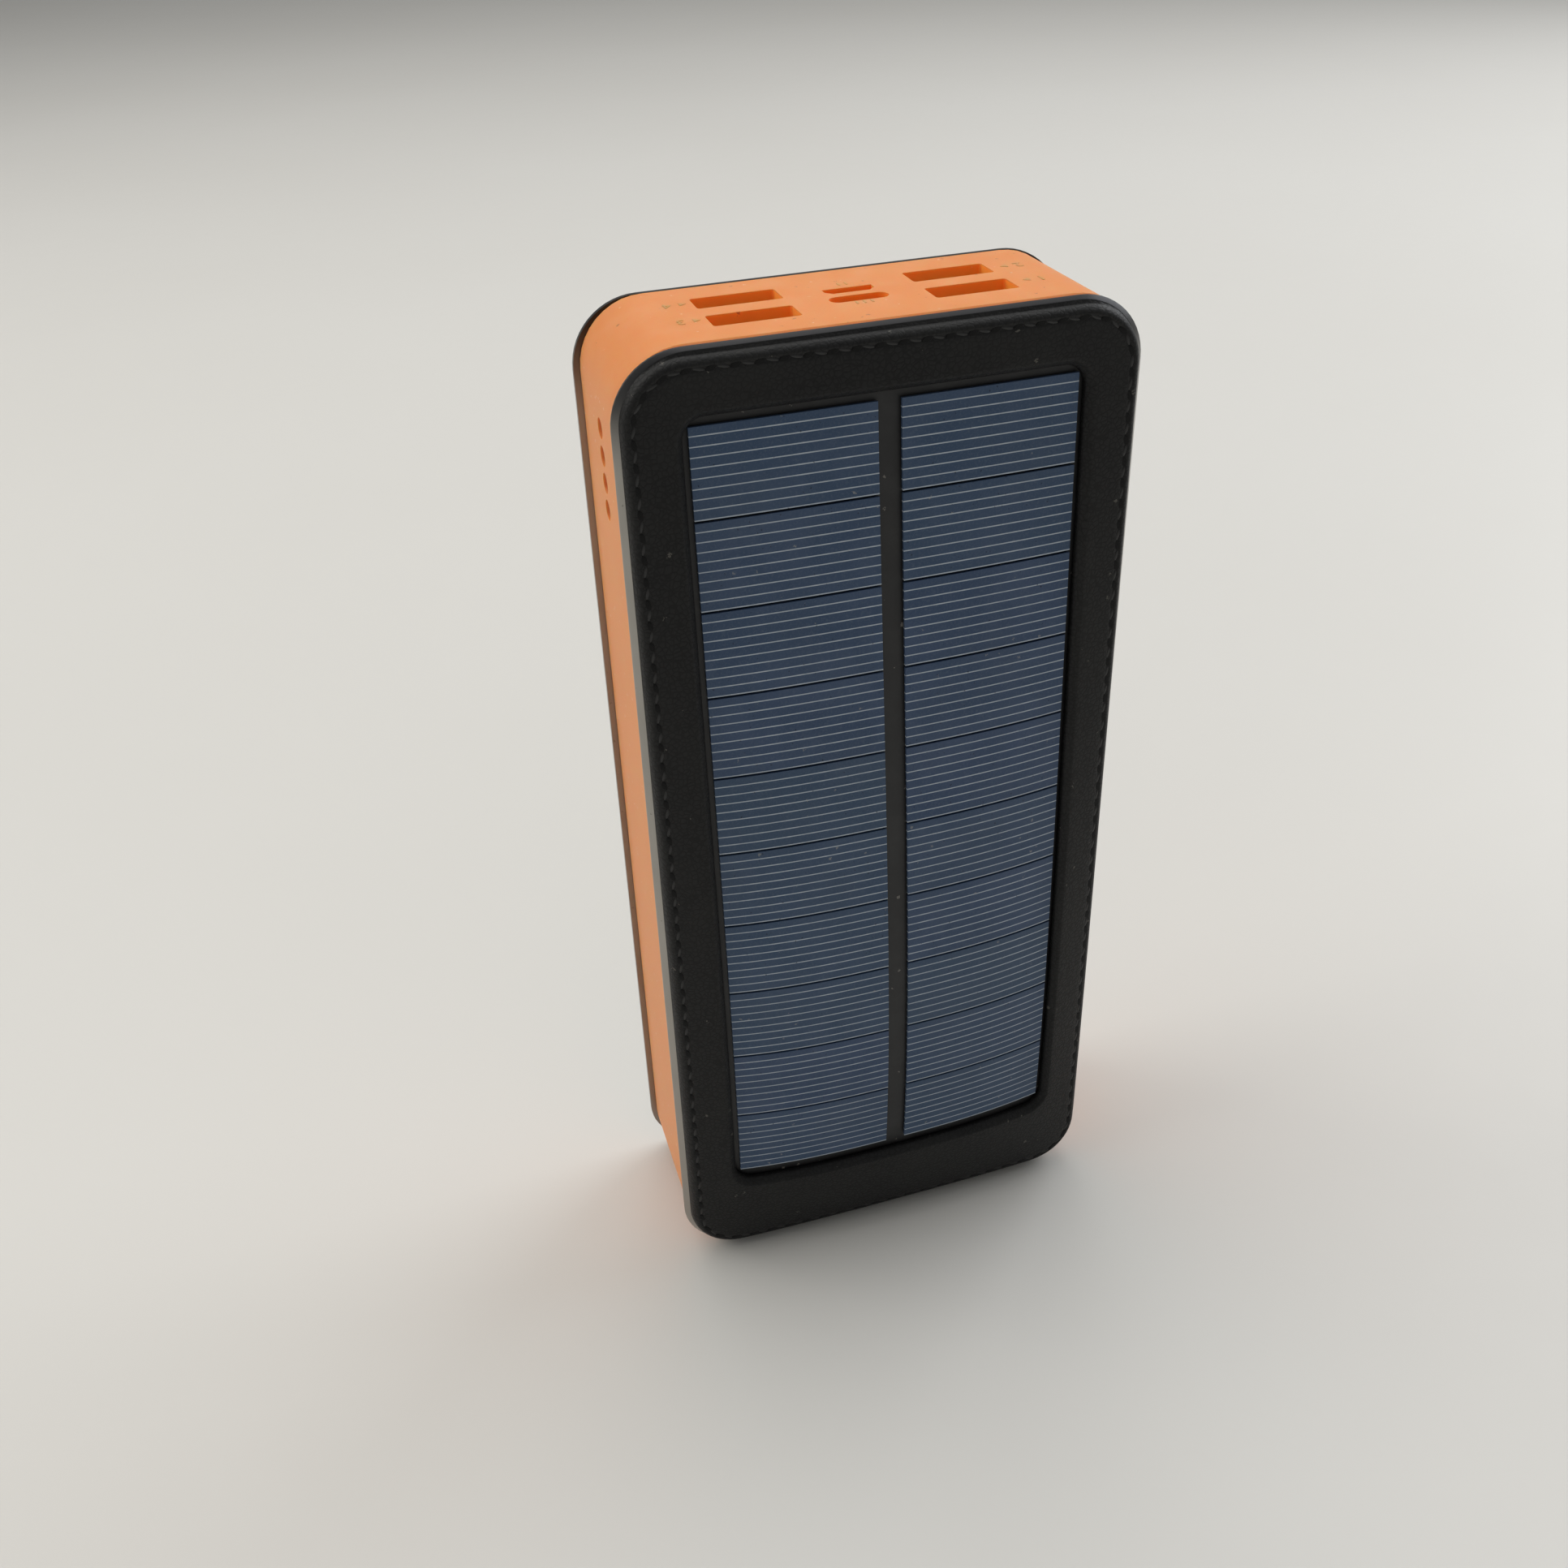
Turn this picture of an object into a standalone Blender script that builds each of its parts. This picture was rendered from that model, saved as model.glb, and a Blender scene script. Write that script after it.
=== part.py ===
"""Solar power bank with a bowed solar front, standing on its lower end.

World frame: +X right, -Y the solar front, +Z up towards the ports. Metres.
"""
import math

import bmesh
import bpy

MM = 0.001

# Overall size
WIDTH = 82.0 * MM
HEIGHT = 179.0 * MM
EDGE_DEPTH = 29.7 * MM
BOW = 5.6 * MM
PAD = 1.7 * MM
GAP = 0.3 * MM

# Bowed front: how the swelling fades towards the sides and the two ends
BOW_SIDE_POWER = 2.6
BOW_END_POWER = 0.55
BOW_END_SHARPNESS = 1.25

# Depth levels, front to rear
CELL_RECESS = 1.4 * MM
REAR_Y = 0.5 * (EDGE_DEPTH + PAD + BOW - CELL_RECESS)
RIM_Y = REAR_Y - EDGE_DEPTH
FRONT_JOINT_Y = RIM_Y + 0.9 * MM
REAR_JOINT_Y = REAR_Y - 1.15 * MM
COVER_SKIN = 1.9 * MM
TONGUE_DEPTH = 2.75 * MM

# Cover outline
COVER_HALF_X = 0.5 * WIDTH
COVER_LOW_Z = 0.2 * MM
COVER_HIGH_Z = HEIGHT - 0.2 * MM
COVER_CORNER = 10.8 * MM
FRONT_BEVEL = ((0.0, 0.72), (0.1, 0.58), (0.9, 0.06), (1.0, 0.0))
FRONT_SHOULDER = ((1.08, 0.7), (1.4, 1.3), (2.1, 1.7))
BEVEL_END_SHARE = 0.5
REAR_EDGE_ROUND = 0.35 * MM
TONGUE_OUTER_INSET = 3.3 * MM
TONGUE_INNER_INSET = 4.7 * MM

# Middle frame
FRAME_HALF_X = 40.0 * MM
FRAME_SIDE_WALL = 2.0 * MM
FRAME_END_WALL = 2.6 * MM
FRAME_CORNER = 10.6 * MM
FRAME_CHAMFER = 0.3 * MM
FRAME_FRONT_Y = FRONT_JOINT_Y + GAP
FRAME_REAR_Y = REAR_JOINT_Y - GAP
FRAME_INNER_X = FRAME_HALF_X - FRAME_SIDE_WALL
FRAME_INNER_TOP = HEIGHT - FRAME_END_WALL

# Solar window and cells
WINDOW_HALF_X = 31.2 * MM
WINDOW_LOW_Z = 19.0 * MM
WINDOW_HIGH_Z = 168.9 * MM
WINDOW_CORNER = 3.4 * MM
WINDOW_LIP = 1.3 * MM
CELL_ROWS = 10
CELL_TOP_Z = 167.5 * MM
CELL_PITCH = 14.64 * MM
CELL_GAP = 0.4 * MM
CELL_INNER_X = 1.85 * MM
CELL_OUTER_X = 30.25 * MM
CELL_THICK = 0.5 * MM
BOARD_HALF_X = 33.2 * MM
BOARD_LOW_Z = 17.1 * MM
BOARD_HIGH_Z = 170.8 * MM
BOARD_THICK = 1.0 * MM

# Circuit board and ports
PCB_Y = 2.75 * MM
PCB_HALF_THICK = 0.8 * MM
PCB_LEFT_X = -34.7 * MM
PCB_RIGHT_X = 34.0 * MM
PCB_LOW_Z = 127.0 * MM
PCB_HIGH_Z = 172.0 * MM
SCREW_X = 32.4 * MM
SCREW_Z = 132.0 * MM
PORT_X = 17.0 * MM
PORT_Y_OFFSET = 4.6 * MM
PORT_SLOT = (13.3 * MM, 5.4 * MM)
PORT_SHELL = (13.1 * MM, 5.72 * MM)
PORT_MOUTH = (12.5 * MM, 5.12 * MM)
PORT_LENGTH = 16.0 * MM
COLLAR_HALF_X = 25.4 * MM
COLLAR_HALF_Y = 8.0 * MM
COLLAR_LOW_Z = HEIGHT - 4.6 * MM
SHELL_TOP_Z = COLLAR_LOW_Z - GAP
TONGUE_TOP_Z = SHELL_TOP_Z - 0.8 * MM
INPUT_SHELL_LENGTH = 7.5 * MM
USB_C_Y = PCB_Y - 2.2 * MM
MICRO_Y = PCB_Y + 2.2 * MM

# Charge indicators in the left wall
PIPE_Y = PCB_Y + 0.5 * MM
PIPE_TOP_Z = 163.4 * MM
PIPE_PITCH = 4.4 * MM
PIPE_HOLE_RADIUS = 1.65 * MM
PIPE_RADIUS = 1.35 * MM

# Power button in the right wall
BUTTON_Z = 157.0 * MM
BUTTON_HALF = (2.5 * MM, 5.0 * MM)
BUTTON_FACE_X = 40.5 * MM
BUTTON_BACK_X = 36.4 * MM
SWITCH_FACE_X = 34.6 * MM

# Rear lamp
LAMP_HALF_X = 22.0 * MM
LAMP_LOW_Z = 128.5 * MM
LAMP_HIGH_Z = 154.5 * MM
LAMP_CORNER = 3.0 * MM

# Battery
POUCH_HALF_X = 33.0 * MM
POUCH_LOW_Z = 10.0 * MM
POUCH_HIGH_Z = 123.0 * MM
POUCH_FRONT_Y = -8.25 * MM
POUCH_SPLIT_Y = 2.55 * MM
POUCH_REAR_Y = 13.35 * MM


def bow(x, z):
    """Height of the swollen front above its padded border."""
    across = 1.0 - min(abs(x) / COVER_HALF_X, 1.0) ** BOW_SIDE_POWER
    level = min(max(z / HEIGHT, 0.0), 1.0) ** BOW_END_POWER
    return BOW * across * max(math.sin(math.pi * level), 0.0) ** BOW_END_SHARPNESS


def front_y(x, z, depth=0.0):
    """Y of the bowed front at x, z, moved back into the body by depth."""
    return RIM_Y - PAD - bow(x, z) + depth


def clear_scene():
    for item in list(bpy.data.objects):
        bpy.data.objects.remove(item, do_unlink=True)
    for mesh in list(bpy.data.meshes):
        bpy.data.meshes.remove(mesh)
    for material in list(bpy.data.materials):
        bpy.data.materials.remove(material)


def finish(name, shape, look, smooth_angle=35.0):
    """Turn a bmesh into a named object with its own material."""
    colour, roughness, metallic = look
    bmesh.ops.recalc_face_normals(shape, faces=shape.faces[:])
    mesh = bpy.data.meshes.new(name)
    shape.to_mesh(mesh)
    shape.free()
    mesh.shade_smooth()
    mesh.set_sharp_from_angle(angle=math.radians(smooth_angle))
    material = bpy.data.materials.new(name + "_material")
    material.use_nodes = True
    shader = material.node_tree.nodes["Principled BSDF"]
    shader.inputs["Base Color"].default_value = (*colour, 1.0)
    shader.inputs["Roughness"].default_value = roughness
    shader.inputs["Metallic"].default_value = metallic
    material.diffuse_color = (*colour, 1.0)
    mesh.materials.append(material)
    item = bpy.data.objects.new(name, mesh)
    bpy.context.scene.collection.objects.link(item)
    return item


def outline(half_x, low, high, radius, corner_steps=7, side_steps=10, end_steps=6):
    """Rounded rectangle as (across, along) points, counterclockwise."""
    corners = (
        (half_x - radius, low + radius, -90.0, side_steps),
        (half_x - radius, high - radius, 0.0, end_steps),
        (radius - half_x, high - radius, 90.0, side_steps),
        (radius - half_x, low + radius, 180.0, end_steps),
    )
    points = []
    for index, (cx, cz, start, steps) in enumerate(corners):
        for step in range(corner_steps + 1):
            angle = math.radians(start + 90.0 * step / corner_steps)
            points.append((cx + radius * math.cos(angle), cz + radius * math.sin(angle)))
        nx, nz, next_start, _ = corners[(index + 1) % 4]
        angle = math.radians(next_start)
        target = (nx + radius * math.cos(angle), nz + radius * math.sin(angle))
        last = points[-1]
        for step in range(1, steps):
            share = step / steps
            points.append(tuple(a + share * (b - a) for a, b in zip(last, target)))
    return points


def blend(first, second, share):
    return [
        tuple(a + share * (b - a) for a, b in zip(p, q))
        for p, q in zip(first, second)
    ]


def loft(loops, closed_ring=False):
    """Join equal loops of 3-D points; cap both ends unless it is a ring."""
    shape = bmesh.new()
    rings = [[shape.verts.new(point) for point in loop] for loop in loops]
    pairs = list(zip(rings, rings[1:]))
    if closed_ring:
        pairs.append((rings[-1], rings[0]))
    for near, far in pairs:
        count = len(near)
        for i in range(count):
            j = (i + 1) % count
            shape.faces.new((near[i], near[j], far[j], far[i]))
    if not closed_ring:
        shape.faces.new(rings[0])
        shape.faces.new(rings[-1])
    return shape


def at_y(points, y):
    return [(x, y, z) for x, z in points]


def at_bow(points, depth):
    return [(x, front_y(x, z, depth), z) for x, z in points]


def at_z(points, z, y=0.0, x=0.0):
    return [(x + a, y + b, z) for a, b in points]


def at_x(points, x, y=0.0, z=0.0):
    return [(x, y + a, z + b) for a, b in points]


def cover_outline(inset):
    return outline(
        COVER_HALF_X - inset, COVER_LOW_Z + inset, COVER_HIGH_Z - inset, COVER_CORNER - inset
    )


def window_outline(outset):
    return outline(
        WINDOW_HALF_X + outset, WINDOW_LOW_Z - outset, WINDOW_HIGH_Z + outset, WINDOW_CORNER + outset
    )


def simple_outline(half_a, half_b, radius, steps=3):
    return outline(half_a, -half_b, half_b, radius, steps, 1, 1)


def block(low, high):
    """Box between two corners."""
    shape = bmesh.new()
    bmesh.ops.create_cube(shape, size=1.0)
    for vert in shape.verts:
        for axis in range(3):
            share = vert.co[axis] + 0.5
            vert.co[axis] = low[axis] + share * (high[axis] - low[axis])
    return shape


def bevel_all(shape, width, segments=2):
    bmesh.ops.bevel(
        shape, geom=shape.edges[:], offset=width, segments=segments, profile=0.5, affect="EDGES"
    )
    return shape


def plate(half_or_range, z_range, near_y, far_y, steps):
    """Plate whose two broad faces follow functions of x and z."""
    (x0, x1), (z0, z1), (nx, nz) = half_or_range, z_range, steps
    shape = bmesh.new()
    sides = []
    for side in (near_y, far_y):
        grid = []
        for row in range(nz + 1):
            z = z0 + (z1 - z0) * row / nz
            xs = [x0 + (x1 - x0) * column / nx for column in range(nx + 1)]
            grid.append([shape.verts.new((x, side(x, z), z)) for x in xs])
        sides.append(grid)
    for grid in sides:
        for row in range(nz):
            for column in range(nx):
                shape.faces.new((
                    grid[row][column], grid[row][column + 1],
                    grid[row + 1][column + 1], grid[row + 1][column],
                ))
    near, far = ([
        *grid[0], *(row[-1] for row in grid[1:]),
        *reversed(grid[-1][:-1]), *(row[0] for row in reversed(grid[1:-1])),
    ] for grid in sides)
    for i in range(len(near)):
        j = (i + 1) % len(near)
        shape.faces.new((near[i], near[j], far[j], far[i]))
    return shape


def boolean(item, tools, operation):
    """Cut or join other shapes into item, then drop them."""
    for index, tool in enumerate(tools):
        cutter = finish(item.name + "_tool_%d" % index, tool, ((0.5, 0.5, 0.5), 0.5, 0.0))
        modifier = item.modifiers.new("Boolean", "BOOLEAN")
        modifier.operation = operation
        modifier.solver = "EXACT"
        modifier.object = cutter
        depsgraph = bpy.context.evaluated_depsgraph_get()
        result = bpy.data.meshes.new_from_object(item.evaluated_get(depsgraph))
        item.modifiers.clear()
        old, item.data = item.data, result
        bpy.data.meshes.remove(old)
        bpy.data.objects.remove(cutter, do_unlink=True)
    own = bpy.data.materials[item.name + "_material"]
    item.data.materials.clear()
    item.data.materials.append(own)
    item.data.shade_smooth()
    item.data.set_sharp_from_angle(angle=math.radians(35.0))
    item.data.name = item.name
    return item


def rod(axis_points, radius, sides=16):
    """Straight round rod between two points along X or Y."""
    (ax, ay, az), (bx, by, bz) = axis_points
    circle = [
        (radius * math.cos(2 * math.pi * k / sides), radius * math.sin(2 * math.pi * k / sides))
        for k in range(sides)
    ]
    if ax != bx:
        return loft([at_x(circle, ax, ay, az), at_x(circle, bx, by, bz)])
    return loft([
        [(ax + a, ay, az + b) for a, b in circle],
        [(bx + a, by, bz + b) for a, b in circle],
    ])


# Looks: colour, roughness, metallic
BLACK_SKIN = ((0.018, 0.018, 0.019), 0.45, 0.0)
ORANGE = ((0.72, 0.23, 0.075), 0.5, 0.0)
CELL_BLUE = ((0.055, 0.075, 0.115), 0.35, 0.0)
BOARD_BLACK = ((0.02, 0.02, 0.022), 0.4, 0.0)
PCB_GREEN = ((0.03, 0.16, 0.07), 0.45, 0.0)
STEEL = ((0.62, 0.62, 0.63), 0.3, 1.0)
PORT_WHITE = ((0.8, 0.8, 0.78), 0.5, 0.0)
CONTACT_BLACK = ((0.03, 0.03, 0.03), 0.5, 0.0)
PIPE_CLEAR = ((0.62, 0.52, 0.48), 0.35, 0.0)
LED_WHITE = ((0.85, 0.85, 0.75), 0.4, 0.0)
FOIL = ((0.62, 0.63, 0.65), 0.38, 0.8)
DIFFUSER = ((0.86, 0.86, 0.83), 0.5, 0.0)
LEAD_RED = ((0.45, 0.03, 0.02), 0.5, 0.0)
FERRITE = ((0.08, 0.08, 0.085), 0.6, 0.0)


def middle_frame():
    """Orange ring round the edge, pierced for ports, indicators and button."""
    corner, side, end = 10, 1, 1
    outer = outline(FRAME_HALF_X, 0.0, HEIGHT, FRAME_CORNER, corner, side, end)
    edge = outline(
        FRAME_HALF_X - FRAME_CHAMFER, FRAME_CHAMFER, HEIGHT - FRAME_CHAMFER,
        FRAME_CORNER - FRAME_CHAMFER, corner, side, end,
    )
    inner = outline(
        FRAME_INNER_X, FRAME_END_WALL, FRAME_INNER_TOP,
        FRAME_CORNER - FRAME_SIDE_WALL, corner, side, end,
    )
    loops = [
        at_y(edge, FRAME_FRONT_Y),
        at_y(outer, FRAME_FRONT_Y + FRAME_CHAMFER),
        at_y(outer, FRAME_REAR_Y - FRAME_CHAMFER),
        at_y(edge, FRAME_REAR_Y),
        at_y(inner, FRAME_REAR_Y),
        at_y(inner, FRAME_FRONT_Y),
    ]
    item = finish("middle_frame", loft(loops, closed_ring=True), ORANGE)

    lugs = []
    for side_sign in (-1, 1):
        xs = sorted((side_sign * 29.8 * MM, side_sign * (FRAME_INNER_X + 1.0 * MM)))
        low = (xs[0], PCB_Y + PCB_HALF_THICK + GAP, SCREW_Z - 4.0 * MM)
        high = (xs[1], PCB_Y + 7.0 * MM, SCREW_Z + 4.0 * MM)
        lugs.append(block(low, high))
    lugs.append(block(
        (-COLLAR_HALF_X, PCB_Y - COLLAR_HALF_Y, COLLAR_LOW_Z),
        (COLLAR_HALF_X, PCB_Y + COLLAR_HALF_Y, FRAME_INNER_TOP + 1.0 * MM),
    ))
    boolean(item, lugs, "UNION")

    cuts = []
    below, above = COLLAR_LOW_Z - 1.0 * MM, HEIGHT + 1.0 * MM
    slot = simple_outline(0.5 * PORT_SLOT[0], 0.5 * PORT_SLOT[1], 0.5 * MM)
    for x in (-PORT_X, PORT_X):
        for y in (PCB_Y - PORT_Y_OFFSET, PCB_Y + PORT_Y_OFFSET):
            cuts.append(loft([at_z(slot, below, y, x), at_z(slot, above, y, x)]))
    stadium = simple_outline(4.65 * MM, 1.5 * MM, 1.45 * MM, 5)
    cuts.append(loft([at_z(stadium, below, USB_C_Y), at_z(stadium, above, USB_C_Y)]))
    tapered = micro_section(7.9 * MM, 2.5 * MM)
    cuts.append(loft([at_z(tapered, below, MICRO_Y), at_z(tapered, above, MICRO_Y)]))
    left_in, left_out = -FRAME_INNER_X + 1.0 * MM, -FRAME_HALF_X - 1.0 * MM
    for index in range(4):
        z = PIPE_TOP_Z - index * PIPE_PITCH
        cuts.append(rod(((left_in, PIPE_Y, z), (left_out, PIPE_Y, z)), PIPE_HOLE_RADIUS, 20))
    opening = simple_outline(
        BUTTON_HALF[0] + GAP, BUTTON_HALF[1] + GAP, BUTTON_HALF[0] + GAP - 0.05 * MM, 6
    )
    cuts.append(loft([
        at_x(opening, FRAME_INNER_X - 1.0 * MM, PCB_Y, BUTTON_Z),
        at_x(opening, FRAME_HALF_X + 1.0 * MM, PCB_Y, BUTTON_Z),
    ]))
    for x in (-SCREW_X, SCREW_X):
        cuts.append(rod(((x, PCB_Y, SCREW_Z), (x, PCB_Y + 8.0 * MM, SCREW_Z)), 1.3 * MM, 12))
    boolean(item, cuts, "DIFFERENCE")


def micro_section(width, height):
    """Small port section: full width at the rear, tapered towards the front."""
    half_w, half_h = 0.5 * width, 0.5 * height
    taper = 0.42 * height
    return [
        (-half_w + taper, -half_h), (half_w - taper, -half_h),
        (half_w, -half_h + taper), (half_w, half_h),
        (-half_w, half_h), (-half_w, -half_h + taper),
    ]


def front_bevel():
    """Loops of the front cover's bevelled edge and of the padded shoulder inside it."""
    loops = []
    for inset, back in FRONT_BEVEL:
        across, along = inset * MM, BEVEL_END_SHARE * inset * MM
        loops.append(at_bow(outline(
            COVER_HALF_X - across, COVER_LOW_Z + along, COVER_HIGH_Z - along, COVER_CORNER - along
        ), PAD + back * MM))
    for inset, rise in FRONT_SHOULDER:
        loops.append(at_bow(cover_outline(inset * MM), PAD - rise * MM))
    return loops


def rear_edge():
    """Loops that round the rear cover's outer edge over to its flat face."""
    loops = []
    for degrees in (0.0, 30.0, 60.0, 90.0):
        angle = math.radians(degrees)
        inset = REAR_EDGE_ROUND * (1.0 - math.cos(angle))
        back = REAR_EDGE_ROUND * (1.0 - math.sin(angle))
        loops.append(at_y(cover_outline(inset), REAR_Y - back))
    return loops


def front_cover():
    """Bowed black cover with the solar window and a locating tongue behind."""
    tongue_outer = cover_outline(TONGUE_OUTER_INSET)
    tongue_inner = cover_outline(TONGUE_INNER_INSET)
    border = cover_outline(3.0 * MM)
    lip = window_outline(WINDOW_LIP)
    hole = window_outline(0.0)
    loops = [at_y(cover_outline(0.0), FRONT_JOINT_Y)]
    loops += front_bevel()
    loops += [at_bow(blend(border, lip, share), 0.0) for share in (0.0, 0.34, 0.67)]
    for outset, depth in ((1.3, 0.0), (0.7, 0.14), (0.25, 0.5), (0.0, 1.05)):
        loops.append(at_bow(window_outline(outset * MM), depth * MM))
    loops.append(at_bow(hole, COVER_SKIN))
    loops.append(at_bow(blend(hole, tongue_inner, 0.5), COVER_SKIN))
    loops.append(at_bow(tongue_inner, COVER_SKIN))
    loops.append(at_y(tongue_inner, FRONT_JOINT_Y + TONGUE_DEPTH))
    loops.append(at_y(tongue_outer, FRONT_JOINT_Y + TONGUE_DEPTH))
    loops.append(at_y(tongue_outer, FRONT_JOINT_Y))
    finish("front_cover", loft(loops, closed_ring=True), BLACK_SKIN)


def rear_cover():
    """Flat black cover with the lamp opening and a locating tongue."""
    def opening(outset):
        return outline(
            LAMP_HALF_X + outset, LAMP_LOW_Z - outset, LAMP_HIGH_Z + outset, LAMP_CORNER + outset
        )
    tongue_outer = cover_outline(TONGUE_OUTER_INSET)
    tongue_inner = cover_outline(TONGUE_INNER_INSET)
    loops = [at_y(cover_outline(0.0), REAR_JOINT_Y)]
    loops += rear_edge()
    loops.append(at_y(opening(0.4 * MM), REAR_Y))
    loops.append(at_y(opening(0.0), REAR_Y - 0.4 * MM))
    loops.append(at_y(opening(0.0), REAR_Y - COVER_SKIN))
    loops.append(at_y(tongue_inner, REAR_Y - COVER_SKIN))
    loops.append(at_y(tongue_inner, REAR_JOINT_Y - TONGUE_DEPTH))
    loops.append(at_y(tongue_outer, REAR_JOINT_Y - TONGUE_DEPTH))
    loops.append(at_y(tongue_outer, REAR_JOINT_Y))
    finish("rear_cover", loft(loops, closed_ring=True), BLACK_SKIN)


def solar_panel():
    """Black backing board with twenty cells bonded in two columns."""
    board_depth = COVER_SKIN + GAP
    board = plate(
        (-BOARD_HALF_X, BOARD_HALF_X), (BOARD_LOW_Z, BOARD_HIGH_Z),
        lambda x, z: front_y(x, z, board_depth),
        lambda x, z: front_y(x, z, board_depth + BOARD_THICK), (14, 14),
    )
    finish("solar_board", board, BOARD_BLACK)
    for side_sign, side_name in ((-1, "left"), (1, "right")):
        xs = tuple(sorted((side_sign * CELL_INNER_X, side_sign * CELL_OUTER_X)))
        for row in range(CELL_ROWS):
            high = CELL_TOP_Z - row * CELL_PITCH
            cell = plate(
                xs, (high - CELL_PITCH + CELL_GAP, high),
                lambda x, z: front_y(x, z, CELL_RECESS),
                lambda x, z: front_y(x, z, CELL_RECESS + CELL_THICK), (6, 2),
            )
            finish("solar_cell_%s_%02d" % (side_name, row + 1), cell, CELL_BLUE)


def main_board():
    """Circuit board lying between the two rows of ports."""
    notch_x, notch_z = 5.6 * MM, SHELL_TOP_Z - INPUT_SHELL_LENGTH - 1.0 * MM
    switch_x = SWITCH_FACE_X - 4.0 * MM
    corners = [
        (PCB_LEFT_X, PCB_LOW_Z), (PCB_RIGHT_X, PCB_LOW_Z),
        (PCB_RIGHT_X, BUTTON_Z - 3.3 * MM), (switch_x, BUTTON_Z - 3.3 * MM),
        (switch_x, BUTTON_Z + 3.3 * MM), (PCB_RIGHT_X, BUTTON_Z + 3.3 * MM),
        (PCB_RIGHT_X, PCB_HIGH_Z), (notch_x, PCB_HIGH_Z), (notch_x, notch_z),
        (-notch_x, notch_z), (-notch_x, PCB_HIGH_Z), (PCB_LEFT_X, PCB_HIGH_Z),
    ]
    shape = loft([at_y(corners, PCB_Y - PCB_HALF_THICK), at_y(corners, PCB_Y + PCB_HALF_THICK)])
    item = finish("main_board", shape, PCB_GREEN)
    holes = [
        rod(((x, PCB_Y - 2.0 * MM, SCREW_Z), (x, PCB_Y + 2.0 * MM, SCREW_Z)), 1.4 * MM, 12)
        for x in (-SCREW_X, SCREW_X)
    ]
    boolean(item, holes, "DIFFERENCE")


def receptacle(name, outer, mouth, y, x, length):
    """Sheet steel shell of a port, open at the top and closed behind."""
    wall = 0.3 * MM
    low = SHELL_TOP_Z - length
    shape = loft([
        at_z(outer, low, y, x), at_z(outer, SHELL_TOP_Z, y, x),
        at_z(mouth, SHELL_TOP_Z, y, x), at_z(mouth, low + wall, y, x),
    ])
    finish(name, shape, STEEL)


def ports():
    """Four output ports, a round-ended input and a small tapered input."""
    number = 0
    outer = simple_outline(0.5 * PORT_SHELL[0], 0.5 * PORT_SHELL[1], 0.5 * MM, 2)
    mouth = simple_outline(0.5 * PORT_MOUTH[0], 0.5 * PORT_MOUTH[1], 0.2 * MM, 2)
    floor = SHELL_TOP_Z - PORT_LENGTH + 0.3 * MM
    for row_sign in (-1, 1):
        for x in (-PORT_X, PORT_X):
            number += 1
            y = PCB_Y + row_sign * PORT_Y_OFFSET
            receptacle("usb_a_shell_%d" % number, outer, mouth, y, x, PORT_LENGTH)
            middle = y - row_sign * 0.85 * MM
            tongue = block(
                (x - 5.6 * MM, middle - 0.95 * MM, floor + GAP),
                (x + 5.6 * MM, middle + 0.95 * MM, TONGUE_TOP_Z),
            )
            finish("usb_a_tongue_%d" % number, tongue, PORT_WHITE)

    outer = simple_outline(4.47 * MM, 1.58 * MM, 1.55 * MM, 5)
    mouth = simple_outline(4.17 * MM, 1.28 * MM, 1.25 * MM, 5)
    receptacle("usb_c_shell", outer, mouth, USB_C_Y, 0.0, INPUT_SHELL_LENGTH)
    floor = SHELL_TOP_Z - INPUT_SHELL_LENGTH + 0.3 * MM
    tongue = block(
        (-3.35 * MM, USB_C_Y - 0.35 * MM, floor + GAP), (3.35 * MM, USB_C_Y + 0.35 * MM, TONGUE_TOP_Z)
    )
    finish("usb_c_tongue", tongue, CONTACT_BLACK)

    receptacle(
        "micro_usb_shell", micro_section(8.1 * MM, 2.9 * MM), micro_section(7.4 * MM, 2.3 * MM),
        MICRO_Y, 0.0, 6.0 * MM,
    )
    floor = SHELL_TOP_Z - 5.7 * MM
    tongue = block(
        (-2.2 * MM, MICRO_Y + 0.15 * MM, floor + GAP), (2.2 * MM, MICRO_Y + 0.75 * MM, TONGUE_TOP_Z)
    )
    finish("micro_usb_tongue", tongue, CONTACT_BLACK)


def indicators():
    """One clear moulding with four pegs, lit by four chips on the board edge."""
    peg_tip = -FRAME_HALF_X + 0.6 * MM
    bar_out = -FRAME_INNER_X + GAP
    bar_in = bar_out + 1.2 * MM
    low = PIPE_TOP_Z - 3 * PIPE_PITCH - 2.2 * MM
    bar = finish(
        "light_pipe",
        block((bar_out, PIPE_Y - 1.8 * MM, low), (bar_in, PIPE_Y + 1.8 * MM, PIPE_TOP_Z + 2.2 * MM)),
        PIPE_CLEAR,
    )
    pegs = []
    for index in range(4):
        z = PIPE_TOP_Z - index * PIPE_PITCH
        pegs.append(rod(((peg_tip, PIPE_Y, z), (bar_out + 0.4 * MM, PIPE_Y, z)), PIPE_RADIUS, 20))
        chip = block(
            (bar_in + GAP, PIPE_Y - 0.9 * MM, z - 1.0 * MM),
            (PCB_LEFT_X - GAP, PIPE_Y + 0.9 * MM, z + 1.0 * MM),
        )
        finish("charge_led_%d" % (index + 1), chip, LED_WHITE)
    boolean(bar, pegs, "UNION")


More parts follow.
